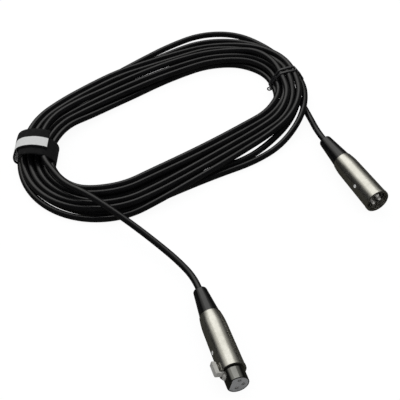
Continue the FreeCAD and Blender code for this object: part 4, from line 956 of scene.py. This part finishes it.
def webbing(name, stripe_from, stripe_to, pale_from, pale_to):
    """Black woven tape; a plain pale stripe runs along part of it. UVs are millimetres."""
    material, tree, shader = new_material(name, (0.02, 0.02, 0.02), 0.7, 0.0, 0.2)
    shader.inputs["Sheen Weight"].default_value = 0.04
    where = tree.nodes.new("ShaderNodeTexCoord").outputs["UV"]
    split = tree.nodes.new("ShaderNodeSeparateXYZ")
    tree.links.new(where, split.inputs[0])
    weave = maths(tree, "MULTIPLY", wave(tree, where, "X", 0.42), wave(tree, where, "Y", 0.42))
    # The noise that makes the edges ragged is 0.25 on average, so they are moved by that much
    ragged = maths(tree, "MULTIPLY", add_noise(tree, 500.0), 0.5)
    across = maths(tree, "ADD", split.outputs["Y"], ragged)
    pale = maths(tree, "MULTIPLY", within(tree, across, stripe_from + 0.25, stripe_to + 0.25),
                 within(tree, split.outputs["X"], pale_from, pale_to))
    shade = mix_colours(tree, "MIX", pale, opaque((0.0045, 0.0045, 0.005)),
                        opaque((0.80, 0.80, 0.78)))
    # Painted shade in the weave's dips and painted light on its raised threads, on the same
    # pattern as the bump
    weave_shading = mix_colours(tree, "MULTIPLY", 1.0, shade,
                       spread(tree, weave, 0.0, 1.0, 0.82, 1.15))
    tree.links.new(weave_shading, shader.inputs["Base Color"])
    vary_roughness(tree, shader, add_noise(tree, 300.0), 0.6, 0.8)
    add_bump(tree, shader, weave, 0.6, 0.00015)
    return material


def dress(finish, *names):
    """Give CAD nodes a finish in place of their plain material."""
    for name in names:
        mesh = nodes[name].data
        mesh.materials.clear()
        mesh.materials.append(finishes[finish])


# Name, make, darker and lighter tone, lowest and highest roughness, grain per metre, depth of
# the grain in metres, and specular level (plastic) or metallic share (metal)
FINISHES = [
    ("cable_jacket", plastic, (0.0025, 0.0025, 0.003), (0.005, 0.005, 0.0055), 0.20, 0.30,
     900.0, 0.00003, 0.5),
    ("tie_plastic", plastic, (0.006, 0.006, 0.007), (0.014, 0.014, 0.015), 0.25, 0.4,
     1200.0, 0.00003, 0.6),
    ("boot_black", plastic, (0.0025, 0.0025, 0.003), (0.005, 0.005, 0.0055), 0.12, 0.20,
     500.0, 0.00003, 0.6),
    ("satin_nickel", metal, (0.56, 0.55, 0.50), (0.66, 0.65, 0.60), 0.22, 0.32,
     2500.0, 0.00001, 1.0),
    # The shells' nickel made paler and half diffuse for the latch: painted light in place of
    # reflections
    ("pale_nickel", metal, (0.60, 0.59, 0.55), (0.72, 0.71, 0.67), 0.25, 0.35,
     1500.0, 0.00001, 0.5),
    ("dark_plating", metal, (0.17, 0.17, 0.16), (0.24, 0.24, 0.23), 0.07, 0.12,
     1500.0, 0.00001, 1.0),
    ("insert_grey", plastic, (0.20, 0.20, 0.20), (0.28, 0.28, 0.28), 0.45, 0.6,
     800.0, 0.00003, 0.5),
    # Silver plating's own pale tone, made partly diffuse: a painted highlight in place of
    # reflections
    ("contact_silver", metal, (0.78, 0.76, 0.70), (0.88, 0.86, 0.82), 0.15, 0.25,
     1500.0, 0.00001, 0.4),
    ("dark_steel", metal, (0.10, 0.10, 0.10), (0.20, 0.20, 0.20), 0.3, 0.4,
     1500.0, 0.00001, 1.0),
    # Steel made near-white and mostly diffuse: a painted glint on the recessed screw heads
    ("bright_steel", metal, (0.80, 0.80, 0.78), (0.92, 0.92, 0.90), 0.35, 0.45,
     1500.0, 0.00001, 0.3),
    ("clamp_nylon", plastic, (0.60, 0.60, 0.56), (0.72, 0.72, 0.68), 0.4, 0.5,
     700.0, 0.00003, 0.5),
    ("red_insulation", plastic, (0.45, 0.02, 0.02), (0.55, 0.03, 0.03), 0.3, 0.4,
     700.0, 0.00002, 0.5),
    ("white_insulation", plastic, (0.70, 0.70, 0.68), (0.80, 0.80, 0.78), 0.3, 0.4,
     700.0, 0.00002, 0.5),
    ("bare_copper", metal, (0.55, 0.28, 0.16), (0.72, 0.40, 0.25), 0.25, 0.35,
     1500.0, 0.00002, 1.0),
]
finishes = {name: make(name, *values) for name, make, *values in FINISHES}

cable = spline_object("cable", settle(), RADIUS, 8, 6)
cable.data.materials.append(finishes["cable_jacket"])
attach(cable, "cable")
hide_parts("cable_coil", "female_lead", "male_lead")
cable_line = line_of(cable)

strap, strap_length = make_strap()
strap.data.materials.append(webbing("strap_tape", STRIPE[0], STRIPE[1],
                                    strap_length - STRIPE_LENGTH,
                                    strap_length - STRIPE_MARGIN))
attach(strap, "cable")
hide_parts("hook_and_loop_strap")

tie = make_tie()
tie.data.materials.append(finishes["tie_plastic"])
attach(tie, "cable")
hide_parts("twist_tie")

dress("cable_jacket", "male_cable_end", "female_cable_end")
dress("boot_black", "male_boot", "female_boot")
dress("satin_nickel", "male_shell", "female_shell")
dress("pale_nickel", "latch_lever")
dress("dark_plating", "female_nose_sleeve")
dress("insert_grey", "male_insert", "female_insert")
dress("contact_silver", "contact_pin_1", "contact_pin_2", "contact_pin_3",
      "socket_contact_1", "socket_contact_2", "socket_contact_3")
dress("dark_steel", "latch_spring", "latch_pivot_pin")
dress("bright_steel", "male_retaining_screw", "female_retaining_screw")
dress("clamp_nylon", "male_cable_clamp", "female_cable_clamp")
dress("red_insulation", "male_hot_conductor", "female_hot_conductor")
dress("white_insulation", "male_cold_conductor", "female_cold_conductor")
dress("bare_copper", "male_shield_conductor", "female_shield_conductor")

bpy.context.view_layer.update()
